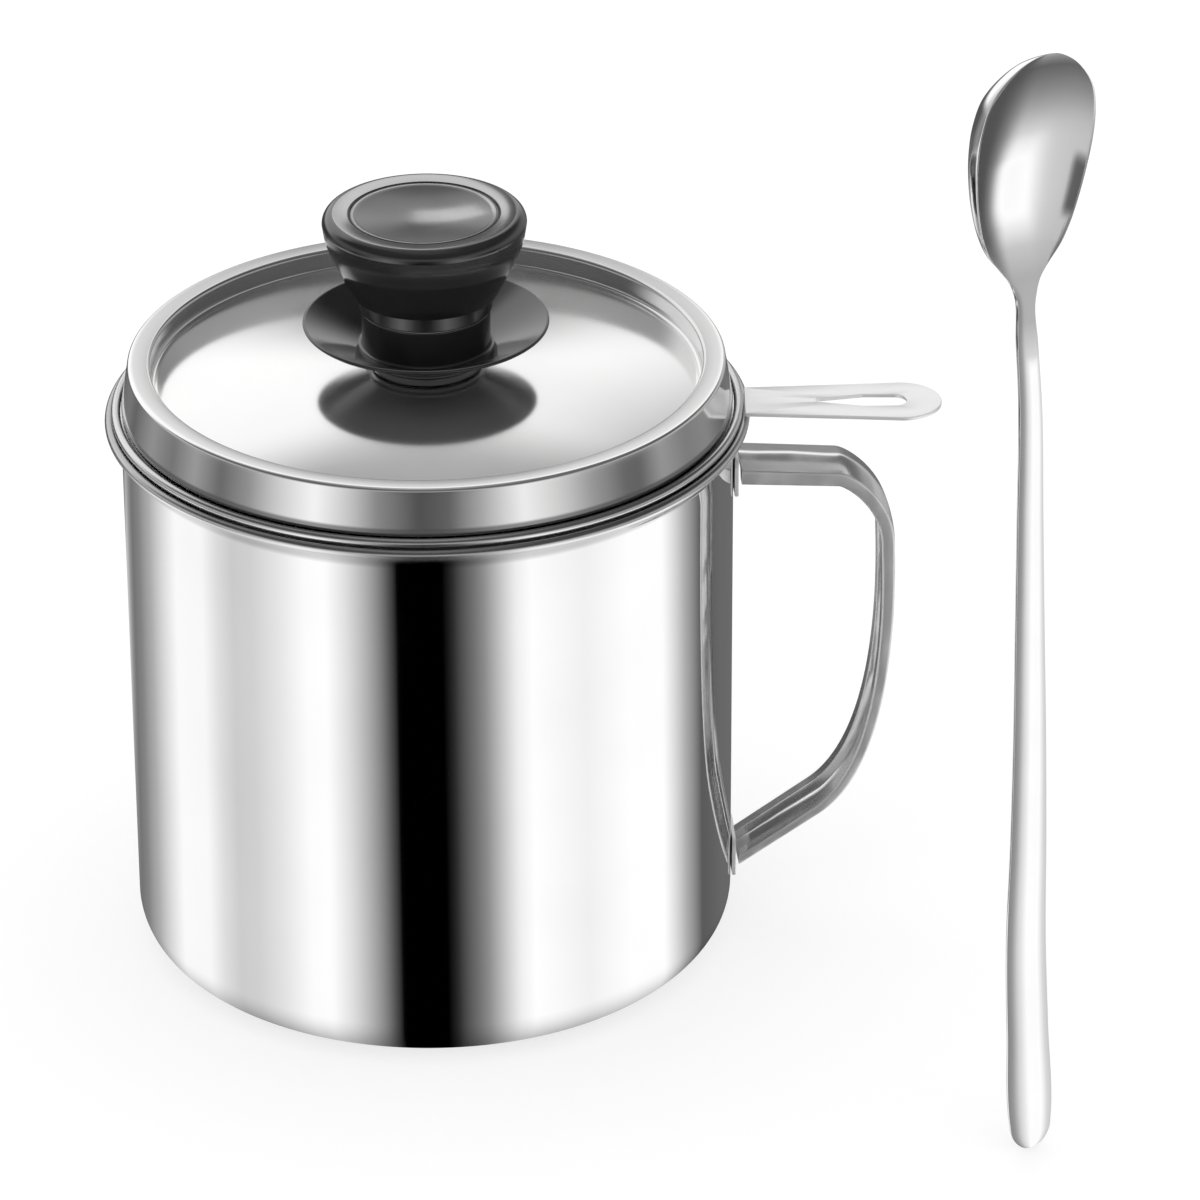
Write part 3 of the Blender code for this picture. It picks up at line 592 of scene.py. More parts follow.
# A plate with round corners and edges, bent to the wall: the outline moved in by an inset, the
# depth by a rounded edge, then across turned into an angle round the pot
def addPlate(name, height):
    edge, thick, corner = plate["edge"], plate["thickness"], plate["corner"]
    middles = np.array((plate["width"], plate["height"])) / 2 - corner
    turns, quarter = quarterAngles(plate["cornerAngles"]), quarterAngles(plate["edgeAngles"])
    rim = edge - edge * np.sin(quarter), edge - edge * np.cos(quarter)
    inset = np.concatenate(([corner, corner / 2], rim[0], rim[0][::-1], [corner / 2, corner]))
    depth = np.concatenate(([0.0, 0.0], rim[1], thick - rim[1][::-1], [thick, thick]))
    radius = (corner - inset)[:, None, None]
    quarters = []
    for signs, first in (((1, 1), 0.0), ((-1, 1), 90.0), ((-1, -1), 180.0), ((1, -1), 270.0)):
        angle = turns + math.radians(first)
        way = np.stack((np.cos(angle), np.sin(angle)), axis=-1)
        quarters.append(signs * middles + radius * way)
    loop = np.concatenate(quarters, axis=1)
    bend = loop[..., 0] / (pot["radius"] + shared["gap"])
    reach = (pot["radius"] + shared["gap"] + depth)[:, None]
    points = np.stack((reach * np.cos(bend), reach * np.sin(bend), height + loop[..., 1]), axis=-1)
    rows, columns = bend.shape
    addPiece(name, points, gridFaces(rows, columns, wrapColumns=True), "plateSteel", "pot",
             endCaps(rows, columns))


addHandle()
addPlate("handle_plate_upper", handleRootHeight - plate["drop"])
addPlate("handle_plate_lower", handle["footHeight"] + plate["lift"])
print("handle made")

# Strainer: a shallow cup that hangs in the pot on its own rolled rim
strainer = {
    "bead": 0.0010,
    "beadInset": 0.0013,   # from the middle of the pot's roll in to the middle of this one
    "beadEnd": -80.0,
    "seatRise": 0.00015,
    "play": 0.0010,        # between its wall and the pot's
    "depth": 0.030,
    "corner": 0.0050,
    "shoulder": 0.0015,
    "ledge": 0.0163,
}
net = {
    "lap": 0.0030, "thickness": 0.0005, "pitch": 0.0026, "wire": 0.00026,
    "perPitch": 4, "sides": 6, "ringLap": 0.0010, "ringThickness": 0.0008, "ringEdge": 0.00015,
}
beadRest = pot["bead"] + strainer["bead"] + shared["gap"]
strainerBeadRadius = potBeadRadius - strainer["beadInset"]
strainerHeight = potBeadHeight + math.sqrt(beadRest**2 - strainer["beadInset"] ** 2)
strainerFloor = strainerHeight + strainer["seatRise"] - strainer["depth"]
strainerWall = potInside - strainer["play"] - shared["sheet"]
strainerOpening = strainerWall - strainer["ledge"]


def addStrainer():
    seat = strainerHeight + strainer["seatRise"]
    corner, shoulder, bead = strainer["corner"], strainer["shoulder"], strainer["bead"]
    meet = 180.0 - math.degrees(math.asin(strainer["seatRise"] / bead))
    face = joinRows(
        [(strainerOpening, strainerFloor)],
        arcPoints((strainerWall - corner, strainerFloor + corner), corner, -90.0, 0.0),
        arcPoints((strainerWall + shoulder, seat - shoulder), shoulder, 180.0, 90.0),
        arcPoints((strainerBeadRadius, strainerHeight), bead, meet, strainer["beadEnd"]),
    )
    addSheet("strainer_cup", face, False, "rimSteel", "strainer")


# Woven net: wires along X and along Y, each a thin tube on a sine wave of its own direction that
# crosses over one wire and under the next, cut off at the net's edge
def addNet():
    radius = strainerOpening + net["lap"] - net["wire"] / 2
    pitch, wire, sides = net["pitch"], net["wire"], net["sides"]
    level = strainerFloor + shared["gap"] + net["thickness"] / 2
    count = int(radius / pitch)
    lines = np.arange(-count, count + 1) * pitch
    reach = np.sqrt(radius**2 - lines**2)
    stations = 2 * count * net["perPitch"] + 1
    run = np.linspace(-1.0, 1.0, stations)[None, :] * reach[:, None]
    around = np.arange(sides) * 2 * math.pi / sides
    parity = np.where(np.arange(len(lines)) % 2, 1.0, -1.0)[:, None]
    rise = parity * wire / 2 * np.cos(np.pi * run / pitch)
    side = lines[:, None, None] + wire / 2 * np.cos(around)[None, None, :]
    height = level + rise[:, :, None] + wire / 2 * np.sin(around)[None, None, :]
    lengthwise = run[:, :, None] + 0 * side
    side = side + 0 * lengthwise
    first = np.stack((lengthwise, side, height), axis=-1)
    second = np.stack((side, lengthwise, 2 * level - height), axis=-1)
    points = np.concatenate((first, second))
    tube = gridFaces(stations, sides, wrapColumns=True)
    starts = np.arange(2 * len(lines)) * stations * sides
    faces = (starts[:, None, None] + tube[None, :, :]).reshape(-1, 4)
    ring = np.arange(sides)
    caps = np.concatenate((starts[:, None] + ring, starts[:, None] + ring + (stations - 1) * sides))
    addPiece("strainer_net", points, faces, "wireSteel", "strainer", caps.tolist())


def addNetRing():
    low = strainerFloor + shared["gap"] * 2 + net["thickness"]
    high = low + net["ringThickness"]
    outer = strainerOpening + net["lap"] + net["ringLap"]
    outline = ringOutline(strainerOpening, outer, low, high, net["ringEdge"], net["ringEdge"])
    addTurned("net_ring", outline, True, shared["turnSteps"], "satinSteel", "strainer")


addStrainer()
addNet()
addNetRing()
print("strainer made")

# Tab: flat, with a drop-shaped slot, lying a few degrees off the handle
tab = {
    "angle": -4.0,
    "thickness": 0.0008,
    "length": 0.0418,
    "rootWidth": 0.0126,
    "endRadius": 0.0086,
    "endAngle": 88.0,
    "slotStart": 0.0152,
    "slotLength": 0.0192,
    "slotShoulder": 0.0100,
    "slotNarrow": 0.0009,
    "slotWide": 0.0027,
    "narrowAngle": 100.0,
    "edge": 0.00018,
    "edgeAngles": 5,
    "longestStep": 0.0006,
    "leastTurn": 0.001,     # radians between two rays
}


# Outline and slot are both read as a radius over the angle about the slot's middle. Each ray from
# the slot to the outline is one strip across the tab: top, round edge, underside, round edge.
def addTab():
    start = strainerBeadRadius + strainer["bead"] + shared["gap"]
    end = start + tab["length"] - tab["endRadius"]
    slotLeft = start + tab["slotStart"]
    slotEnd = slotLeft + tab["slotLength"] - tab["slotWide"]
    side, wide, narrow = tab["rootWidth"] / 2, tab["slotWide"], tab["slotNarrow"]
    outer = joinRows([(start, side), (start, -side)],
                     arcPoints((end, 0.0), tab["endRadius"], -tab["endAngle"], tab["endAngle"]),
                     [(start, side)])
    shoulder = slotLeft + tab["slotShoulder"]
    slot = joinRows(arcPoints((slotEnd, 0.0), wide, -90.0, 90.0), [(shoulder, wide)],
                    arcPoints((slotLeft + narrow, 0.0), narrow, tab["narrowAngle"],
                              360.0 - tab["narrowAngle"]),
                    [(shoulder, -wide), (slotEnd, -wide)])
    middle = np.array((slotLeft + tab["slotLength"] / 2, 0.0))
    outer = densify(outer, tab["longestStep"])[:-1] - middle
    slot = densify(slot, tab["longestStep"])[:-1] - middle
    angles = np.union1d(np.arctan2(outer[:, 1], outer[:, 0]), np.arctan2(slot[:, 1], slot[:, 0]))
    angles = angles[np.concatenate(([True], np.diff(angles) > tab["leastTurn"]))]

    def radiusOver(row):
        turn = np.arctan2(row[:, 1], row[:, 0])
        return np.interp(angles, turn, np.linalg.norm(row, axis=1), period=2 * math.pi)

    far, near = radiusOver(outer), radiusOver(slot)
    edge, thick = tab["edge"], tab["thickness"]
    quarter = quarterAngles(tab["edgeAngles"])
    back = quarter[::-1]
    inset = np.concatenate((edge - edge * np.sin(quarter), edge - edge * np.sin(back)))
    depth = np.concatenate((edge - edge * np.cos(quarter), thick - edge + edge * np.cos(back)))
    reach = np.concatenate((far[:, None] - inset, near[:, None] + inset[::-1]), axis=1)
    drop = np.concatenate((depth, depth[::-1]))
    x = middle[0] + reach * np.cos(angles)[:, None]
    y = reach * np.sin(angles)[:, None]
    swing = math.radians(tab["angle"])
    top = pot["height"] + shared["gap"] + thick
    points = np.stack((x * math.cos(swing) - y * math.sin(swing),
                       x * math.sin(swing) + y * math.cos(swing), top - drop + 0 * x), axis=-1)
    faces = gridFaces(*x.shape, wrapRows=True, wrapColumns=True)
    addPiece("strainer_tab", points, faces, "tabSteel", "strainer")


addTab()
print("tab made")

# Lid: one turned sheet with its skirt rolled in at the bottom, a dished top and a low dome
lid = {
    "play": 0.0002,
    "curl": 0.0010,
    "curlProud": 0.0002,
    "curlStart": 20.0,
    "curlEnd": -250.0,
    "height": 0.0104,
    "taper": 0.0013,        # the skirt is this much narrower at its top
    "edge": 0.0008,
    "rimWidth": 0.0033,
    "rimTurn": 0.0008,
    "dishDepth": 0.0048,
    "dishFillet": 0.0008,
    "domeRise": 0.0028,
    "domePower": 1.3,
    "hubRadius": 0.0130,
    "holeRadius": 0.0028,
    "domeSteps": 40,
}
lidOutside = strainerBeadRadius - strainer["bead"] - lid["play"]
lidRadius = lidOutside - lid["curlProud"]
lidBase = strainerHeight + strainer["seatRise"] + shared["gap"]
lidHubHeight = lidBase + lid["height"] - lid["dishDepth"] + lid["domeRise"]


# The dome's height falls with a power of the way from the hub to the foot of the dish's wall
def addLid():
    floor = lidBase + lid["height"] - lid["dishDepth"]
    top = lidBase + lid["height"]
    rimOuter = lidRadius - lid["taper"] - lid["edge"]
    rimInner = rimOuter - lid["rimWidth"]
    foot = rimInner - lid["rimTurn"] - lid["dishFillet"]
    share = np.linspace(0.0, 1.0, lid["domeSteps"], endpoint=False)
    dome = np.stack((lid["hubRadius"] + (foot - lid["hubRadius"]) * share,
                     floor + lid["domeRise"] * (1 - share ** lid["domePower"])), axis=-1)
    face = joinRows(
        [(lid["holeRadius"], lidHubHeight)],
        dome,
        arcPoints((foot, floor + lid["dishFillet"]), lid["dishFillet"], -90.0, 0.0),
        arcPoints((rimInner, top - lid["rimTurn"]), lid["rimTurn"], 180.0, 90.0),
        arcPoints((rimOuter, top - lid["edge"]), lid["edge"], 90.0, 0.0),
        [(lidRadius, lidBase + lid["curl"] * 2)],
        arcPoints((lidOutside - lid["curl"], lidBase + lid["curl"]), lid["curl"],
                  lid["curlStart"], lid["curlEnd"]),
    )
    addSheet("lid_shell", face, False, "dishSteel", "lid")


addLid()
print("lid made")

# Knob: seat ring, guard dish with its neck, cupped grip, cap and insert
knob = {
    "bore": 0.0028,
    "seatRadius": 0.0118, "seatHeight": 0.0018, "seatEdge": 0.0003,
    "hubRadius": 0.0125, "guardRadius": 0.0261, "guardRise": 0.0083, "guardEdge": 0.0010,
    "hubStep": 0.0006, "guardWall": 0.0016, "fillet": 0.0006, "hubEdge": 0.0002,
    "lipDropOut": 0.00055, "lipTopEdge": 0.00045, "lipOuterEdge": 0.0003, "lipLowEdge": 0.0004,
    "neckRadius": 0.0136, "neckHeight": 0.0111, "neckEdge": 0.0003,
    "collarRadius": 0.0141, "collarHeight": 0.0036, "collarEdge": 0.0003, "collarLean": 0.0006,
    "gripRadius": 0.0215, "gripHeight": 0.0216, "gripEdge": 0.0024, "lipDrop": 0.0003,
    "sideShares": ((0.17, 0.0), (0.36, 0.17), (0.55, 0.35), (0.75, 0.55), (0.91, 0.76),
                   (1.0, 1.0)),
    "sideSteps": 40,
    "capRadius": 0.0156, "capRecess": 0.0032, "capEdgeHeight": 0.0028, "capCentreHeight": 0.0010,
    "capLip": 0.0008, "capEdge": 0.0003, "capSteps": 24, "recessEdge": 0.0003,
    "insertRadius": 0.0042, "insertLength": 0.0110, "boreEnd": 0.0030, "insertEdge": 0.0003,
}
seatBase = lidHubHeight + shared["gap"]
guardBase = seatBase + knob["seatHeight"] + shared["gap"]
gripBase = guardBase + knob["neckHeight"] + shared["gap"]


# A turned piece whose outline's heights count from a base
def addKnobPiece(name, outline, closed, base, finish):
    return addTurned(name, outline + np.array((0.0, base)), closed, shared["knobSteps"], finish,
                     "lid")


def addSeatRing():
    outline = ringOutline(knob["bore"], knob["seatRadius"], 0.0, knob["seatHeight"],
                          knob["seatEdge"], 0.0)
    addKnobPiece("knob_seat_ring", outline, True, seatBase, "blackPhenolic")


# The guard's two faces are cones that meet in a round lip; its root in the neck is filleted
def addGuard():
    edge, radius, rise = knob["guardEdge"], knob["guardRadius"], knob["guardRise"]
    underRun = radius - edge / 2 - knob["hubRadius"]
    underRise = rise - edge - knob["hubStep"]
    root = knob["neckRadius"] + knob["fillet"]
    rootShare = (root - knob["hubRadius"]) / underRun
    rootHeight = knob["hubStep"] + underRise * rootShare + knob["guardWall"]
    slope = (rise - rootHeight) / (radius - edge - root)
    neckFoot = rootHeight - slope * knob["fillet"]
    outline = roundedRow([
        (knob["neckRadius"], knob["neckHeight"], knob["neckEdge"]),
        (knob["neckRadius"], neckFoot, knob["fillet"]),
        (radius - edge / 3, rise, knob["lipTopEdge"]),
        (radius, rise - knob["lipDropOut"], knob["lipOuterEdge"]),
        (radius - edge / 2, rise - edge, knob["lipLowEdge"]),
        (knob["hubRadius"], knob["hubStep"], knob["hubEdge"]),
        (knob["hubRadius"], 0.0, knob["hubEdge"]),
        (knob["bore"], 0.0, 0.0),
        (knob["bore"], knob["neckHeight"], 0.0),
    ], True)
    addKnobPiece("knob_guard", outline, True, guardBase, "blackPhenolic")


# The grip's side is a smooth curve through shares of the way from the collar to the widest ring
def addGrip():
    insertBore = knob["insertRadius"] + shared["gap"]
    boreTop = knob["insertLength"] + knob["boreEnd"]
    recess = knob["capRadius"] + shared["gap"]
    top = knob["gripHeight"] - knob["lipDrop"]
    floor = top - knob["capRecess"]
    widest = knob["gripHeight"] - knob["gripEdge"]
    shares = np.array(knob["sideShares"])
    at = np.linspace(shares[0, 1], 1.0, knob["sideSteps"])
    out = smoothTable(shares[:, 1], shares[:, :1], at)[:, 0]
    side = np.stack((knob["collarRadius"] + (knob["gripRadius"] - knob["collarRadius"]) * out,
                     knob["collarHeight"] + (widest - knob["collarHeight"]) * at), axis=-1)[::-1]
    edge, lip = knob["collarEdge"], knob["recessEdge"]
    innerLip = arcPoints((recess + lip, top - lip), lip, 180.0, 90.0)
    collar = roundedRow([side[-1].tolist() + [0.0],
                         (knob["collarRadius"] - knob["collarLean"], knob["collarHeight"], edge),
                         (knob["collarRadius"], 0.0, edge), (insertBore, 0.0, 0.0),
                         (insertBore, boreTop, 0.0), (0.0, boreTop, 0.0)], False)
    rimTop = arcPoints((knob["gripRadius"] - knob["gripEdge"], widest), knob["gripEdge"], 90.0, 0.0)
    outline = joinRows([(0.0, floor), (recess, floor)], innerLip, rimTop, side, collar)
    return addKnobPiece("knob_grip", outline, False, gripBase, "blackPhenolic")


# The cap's top rises with the square of the distance from its middle
def addCap():
    dish = knob["capRadius"] - knob["capLip"]
    share = np.linspace(0.0, 1.0, knob["capSteps"])
    rise = (knob["capEdgeHeight"] - knob["capCentreHeight"]) * share**2
    bowl = np.stack((dish * share, knob["capCentreHeight"] + rise), axis=-1)
    edge, radius, height = knob["capEdge"], knob["capRadius"], knob["capEdgeHeight"]
    rim = roundedRow([(dish, height, 0.0), (radius, height, edge), (radius, 0.0, edge),
                      (0.0, 0.0, 0.0)], False)
    floor = knob["gripHeight"] - knob["lipDrop"] - knob["capRecess"]
    outline = joinRows(bowl, rim)
    return addKnobPiece("knob_cap", outline, False, gripBase + floor + shared["gap"], "blackCap")


def addInsert():
    outline = ringOutline(knob["bore"], knob["insertRadius"], 0.0, knob["insertLength"],
                          knob["insertEdge"], 0.0)
    return addKnobPiece("knob_insert", outline, True, gripBase, "turnedBrass")


addSeatRing()
addGuard()
grip = addGrip()
cap = addCap()
for piece in (grip, cap, addInsert()):
    piece.visible_glossy = False       # the photo's lid mirrors the guard alone
print("knob made")

# Screw and washer under the lid
screw = {
    "radius": 0.0025, "headRadius": 0.0046, "headHeight": 0.0024, "headEdge": 0.0009,
    "inInsert": 0.0085, "tipEdge": 0.0004, "recessDepth": 0.0012, "recessReach": 0.0024,
    "recessHalf": 0.00055, "recessTaper": 0.35, "steps": 96, "faceSteps": 26,
    "washerRadius": 0.0070, "washerThickness": 0.0008, "washerEdge": 0.0002, "hole": 0.0028,
}
washerTop = lidHubHeight - shared["sheet"] - shared["gap"]
washerLow = washerTop - screw["washerThickness"]
headTop = washerLow - shared["gap"]
headLow = headTop - screw["headHeight"]


# The head's face is pushed in where a point lies within the half width of a cross's arms
def addScrew():
    tip = gripBase + screw["inInsert"]
    faceEdge = screw["headRadius"] - screw["headEdge"]
    radius = screw["radius"]
    shank = roundedRow([(0.0, tip, 0.0), (radius, tip, screw["tipEdge"]), (radius, headTop, 0.0),
                        (screw["headRadius"], headTop, 0.0)], False)
    edge = arcPoints((faceEdge, headLow + screw["headEdge"]), screw["headEdge"], 0.0, -90.0)
    inwards = np.linspace(faceEdge, 0.0, screw["faceSteps"])
    outline = joinRows(shank, edge, np.stack((inwards, headLow + 0 * inwards), axis=-1))
    points = turnedPoints(outline, screw["steps"])
    across = np.abs(points[..., :2])
    near, far = across.min(axis=-1), across.max(axis=-1)
    pushed = points[..., 2] < headLow + shared["mergeDistance"]
    pushed &= (near < screw["recessHalf"]) & (far < screw["recessReach"])
    taper = 1 - far / screw["recessReach"] * screw["recessTaper"]
    points[..., 2] += np.where(pushed, screw["recessDepth"] * taper, 0.0)
    faces = gridFaces(len(outline), screw["steps"], wrapColumns=True)
    return addPiece("knob_screw", points, faces, "satinSteel", "lid")


def addWasher():
    outline = ringOutline(screw["hole"], screw["washerRadius"], washerLow, washerTop,
                          screw["washerEdge"], screw["washerEdge"])
    addTurned("knob_washer", outline, True, shared["knobSteps"], "satinSteel", "lid")


addScrew().visible_glossy = False
addWasher()
print("screw made")

# Camera: where the photograph was taken from, as its heading, its fall and its roll
view = {
    "place": (-0.05025, -1.24156, 0.72526), "heading": 4.0, "fall": 27.552, "roll": -0.1876,
    "lens": 195.0, "sensor": 36.0,
}
towardsCamera = Vector((view["place"][0], view["place"][1], 0.0)).normalized()
rightOfCamera = Vector((-towardsCamera.y, towardsCamera.x, 0.0))

# Spoon: pressed from one blank, stood on its tip
spoon = {
    "x": 0.1184, "y": -0.1066, "turn": 26.0,
    "height": 0.2428,
    "tipRadius": 0.0060,
    "endWidth": 0.0097, "endHeight": 0.0400, "endThickness": 0.0024,
    "neckWidth": 0.0044, "neckHeight": 0.1800, "neckThickness": 0.0030,
    "taperPower": 0.85,
    "bowlStart": 0.1900, "bowlWidth": 0.0264, "bowlDepth": 0.0086, "bowlThickness": 0.0011,
    "bowlPower": 2.8, "thinShare": 0.25,
    "bowlShares": ((0.0, 0.165), (0.05, 0.235), (0.11, 0.40), (0.18, 0.615), (0.26, 0.76),
                   (0.36, 0.87), (0.48, 0.955), (0.60, 1.0), (0.72, 0.985), (0.82, 0.895),
                   (0.90, 0.695), (0.96, 0.45)),    # (place, width) along the bowl
    "lean": -0.0115, "nod": 0.0050,
    "leanShares": (0.0, 0.20, 0.365, 0.39, 0.45, 0.55, 0.645, 0.74, 1.0),
    "tipStations": 6, "runStations": 9,
    "along": 420, "across": 40, "swellPower": 0.5,
    # (share across or height, angle) of the walls that the hollow side mirrors like
    "handleWalls": ((-1.0, 9.6), (-0.85, 10.7), (-0.75, 12), (-0.6, 14), (-0.35, 16), (-0.1, 20),
                    (0.3, 22), (0.5, 17), (0.7, 14.4), (1.0, 13)),
    "bowlWalls": ((-1.0, 23), (-0.3, 22.5), (-0.08, 18.5), (0.08, 15.4), (0.26, 13.7), (0.4, 13.1),
                  (0.7, 12.6), (1.0, 12.4)),
    "heightWalls": ((0.165, 40), (0.178, 14), (0.185, 11.8), (0.194, 11.6), (0.199, 13),
                    (0.203, 16.2), (0.207, 22), (0.2125, 28), (0.217, 18.5), (0.222, 13.8),
                    (0.227, 11.0), (0.231, 9.2), (0.235, 7.5), (0.238, 6.5), (0.2428, 11)),
    "bowlFrom": (0.190, 0.202),
    "darkWall": 5.8, "darkStart": -1.05, "darkClimb": 13.0, "darkWidth": 0.6,
    "patchWall": 6.2, "patchAcross": (0.68, 0.84), "patchLow": (0.2030, 0.2065),
    "patchHigh": (0.2145, 0.2185),
    "blend": 1.0,            # degrees over which the smaller angle takes over
    "sideView": 3.0,         # taken off, because the spoon stands to the camera's right
    "mirrorEdge": 0.9999, "facing": 0.02,
    "rimAngle": 0.03,        # radians from the rim to the next row of points
}


# From 0 to 1 between two values, as three times the square less twice the cube of the share
def easeOver(ends, at):
    share = np.clip((at - ends[0]) / (ends[1] - ends[0]), 0.0, 1.0)
    return share * share * (3 - 2 * share)


# Height, half width, hollow depth and thickness at given stations, as rows of a table
def spoonStations():
    angle = np.linspace(0.0, math.pi / 2, spoon["tipStations"])
    endHalf, endThickness = spoon["endWidth"] / 2, spoon["endThickness"]
    tip = np.stack((spoon["tipRadius"] * (1 - np.cos(angle)), endHalf * np.sin(angle), 0 * angle,
                    endThickness * np.sin(angle)), axis=-1)
    height = np.linspace(spoon["tipRadius"], spoon["neckHeight"], spoon["runStations"])[1:]
    rise = (height - spoon["endHeight"]) / (spoon["neckHeight"] - spoon["endHeight"])
    share = np.clip(rise, 0.0, 1.0)
    half = endHalf + (spoon["neckWidth"] / 2 - endHalf) * share ** spoon["taperPower"]
    thick = endThickness + (spoon["neckThickness"] - endThickness) * share
    run = np.stack((height, half, 0 * height, thick), axis=-1)
    place, wide = np.array(spoon["bowlShares"]).T
    thinner = spoon["bowlThickness"] - spoon["neckThickness"]
    bowl = np.stack((spoon["bowlStart"] + (spoon["height"] - spoon["bowlStart"]) * place,
                     spoon["bowlWidth"] / 2 * wide,
                     spoon["bowlDepth"] * (wide - wide[0]) / (1 - wide[0]),
                     spoon["neckThickness"] + thinner * easeOver((0.0, spoon["thinShare"]), place)),
                    axis=-1)
    return np.vstack((tip, run, bowl, [(spoon["height"], 0.0, 0.0, 0.0)]))


# The table is made smooth over the way along it, with each end mirrored so that it closes round.
# A section is a lens: across is minus the half width times a cosine, the hollow is a raised
# ellipse of the bowl's power, and the two faces part by half the thickness times a root of a sine.
def addSpoon():
    table = spoonStations()
    flip = np.array((1.0, -1.0, 1.0, -1.0))
    table = np.vstack((table[1] * flip, table, table[-2] * flip))
    way = wayAlong(table[:, :2])
    at = np.linspace(way[1], way[-2], spoon["along"])
    height, half, depth, thick = np.maximum(smoothTable(way, table, at), 0.0).T[:, :, None]
    places = np.linspace(0.0, spoon["bowlStart"], len(spoon["leanShares"]))
    places = np.append(places, spoon["height"])
    leans = np.append(spoon["lean"] * np.array(spoon["leanShares"]), spoon["lean"] + spoon["nod"])
    lean = smoothTable(places, leans[:, None], np.minimum(height[:, 0], spoon["height"]))
    rim = spoon["rimAngle"]
    angle = np.linspace(0.0, math.pi, spoon["across"] + 1)
    angle = np.insert(angle, (1, -1), (rim, math.pi - rim))[None, :]
    cosine = np.cos(angle)
    power = spoon["bowlPower"]
    sag = depth * (1 - np.abs(cosine) ** power) ** (1 / power)
    swell = thick / 2 * np.abs(np.sin(angle)) ** spoon["swellPower"]
    side = -half * cosine
    swell[:, [0, -1]] = 0.0
    sides = np.hstack((side, side[:, -2:0:-1]))
    fronts = np.hstack((lean + swell - sag, (lean - swell - sag)[:, -2:0:-1]))
    turn = math.radians(spoon["turn"])
    x = spoon["x"] + sides * math.cos(turn) + fronts * math.sin(turn)
    y = spoon["y"] + sides * math.sin(turn) - fronts * math.cos(turn)
    points = np.stack((x, y, height + 0 * sides), axis=-1)
    piece = addPiece("spoon", points, gridFaces(*sides.shape, wrapColumns=True), "spoonSteel",
                     "spoon")
    easeNormals(piece.data, height[:, 0], half[:, 0], lean[:, 0])
    return piece


# The hollow side mirrors as a shallower one. Its shading normals are level, at the angle of a wall:
# the smooth minimum of one angle by height and one by the share across, which in the bowl is taken
# as the camera sees it, pulled to a dark angle along the bowl's left rim and in a patch at its
# right one. The rims keep the mesh's own.
def easeNormals(mesh, heights, halves, leans):
    count = len(mesh.vertices)
    places, own = np.empty(count * 3), np.empty(count * 3)
    mesh.vertices.foreach_get("co", places)
    mesh.vertices.foreach_get("normal", own)
    places, own = places.reshape(-1, 3) - (spoon["x"], spoon["y"], 0.0), own.reshape(-1, 3)
    turn = math.radians(spoon["turn"])
    rightwards, forwards = np.array(((math.cos(turn), math.sin(turn), 0.0),
                                     (math.sin(turn), -math.cos(turn), 0.0)))
    height = places[:, 2]
    half = np.maximum(np.interp(height, heights, halves), shared["mergeDistance"])
    share = np.clip(places @ rightwards / half, -1.0, 1.0)
    toCamera = np.array((view["place"][0] - spoon["x"], view["place"][1] - spoon["y"], 0.0))
    slant = -(toCamera @ rightwards) / (toCamera @ forwards)
    depth = places @ forwards - np.interp(height, heights, leans)
    seen = np.clip(share + slant * depth / half, -1.0, 1.0)
    handleWall = np.interp(share, *np.array(spoon["handleWalls"]).T)
    bowlWall = np.interp(seen, *np.array(spoon["bowlWalls"]).T)
    bowl = easeOver(spoon["bowlFrom"], height)
    wall = handleWall + (bowlWall - handleWall) * bowl
    byHeight = np.interp(height, *np.array(spoon["heightWalls"]).T)
    blend = spoon["blend"]
    wall = -blend * np.logaddexp(-wall / blend, -byHeight / blend)
    darkStart = spoon["darkStart"] + spoon["darkClimb"] * (height - spoon["patchLow"][1])
    dark = (1 - easeOver((darkStart, darkStart + spoon["darkWidth"]), seen)) * bowl
    wall = wall + (spoon["darkWall"] - wall) * dark
    patch = easeOver(spoon["patchLow"], height) * (1 - easeOver(spoon["patchHigh"], height))
    patch = patch * easeOver(spoon["patchAcross"], seen)
    wall = np.radians(wall + (spoon["patchWall"] - wall) * patch - spoon["sideView"])
    normals = np.outer(np.cos(wall), towardsCamera) + np.outer(np.sin(wall), rightOfCamera)
    inner = own @ forwards - (own @ rightwards) * share * bowl > spoon["facing"]
    inner &= np.abs(share) < spoon["mirrorEdge"]
    normals = np.where(inner[:, None], normals, 0.0)
    mesh.normals_split_custom_set_from_vertices(normals.tolist())


addSpoon().visible_glossy = False      # the photo's pot shows no spoon in its wall
print("spoon made")


def addCamera():
    heading, fall, roll = (math.radians(view[key]) for key in ("heading", "fall", "roll"))
    level = math.cos(fall)
    ahead = Vector((math.sin(heading) * level, math.cos(heading) * level, -math.sin(fall)))
    right = Vector((math.cos(heading), -math.sin(heading), 0.0))
    turn = Matrix((right, right.cross(ahead), -ahead)).transposed().to_4x4()
    data = bpy.data.cameras.new("camera")
    data.sensor_width, data.lens = view["sensor"], view["lens"]
    camera = addObject("camera", data)
    camera.matrix_world = Matrix.Translation(view["place"]) @ turn @ Matrix.Rotation(roll, 4, "Z")
    bpy.context.scene.camera = camera


addCamera()
print("camera set")

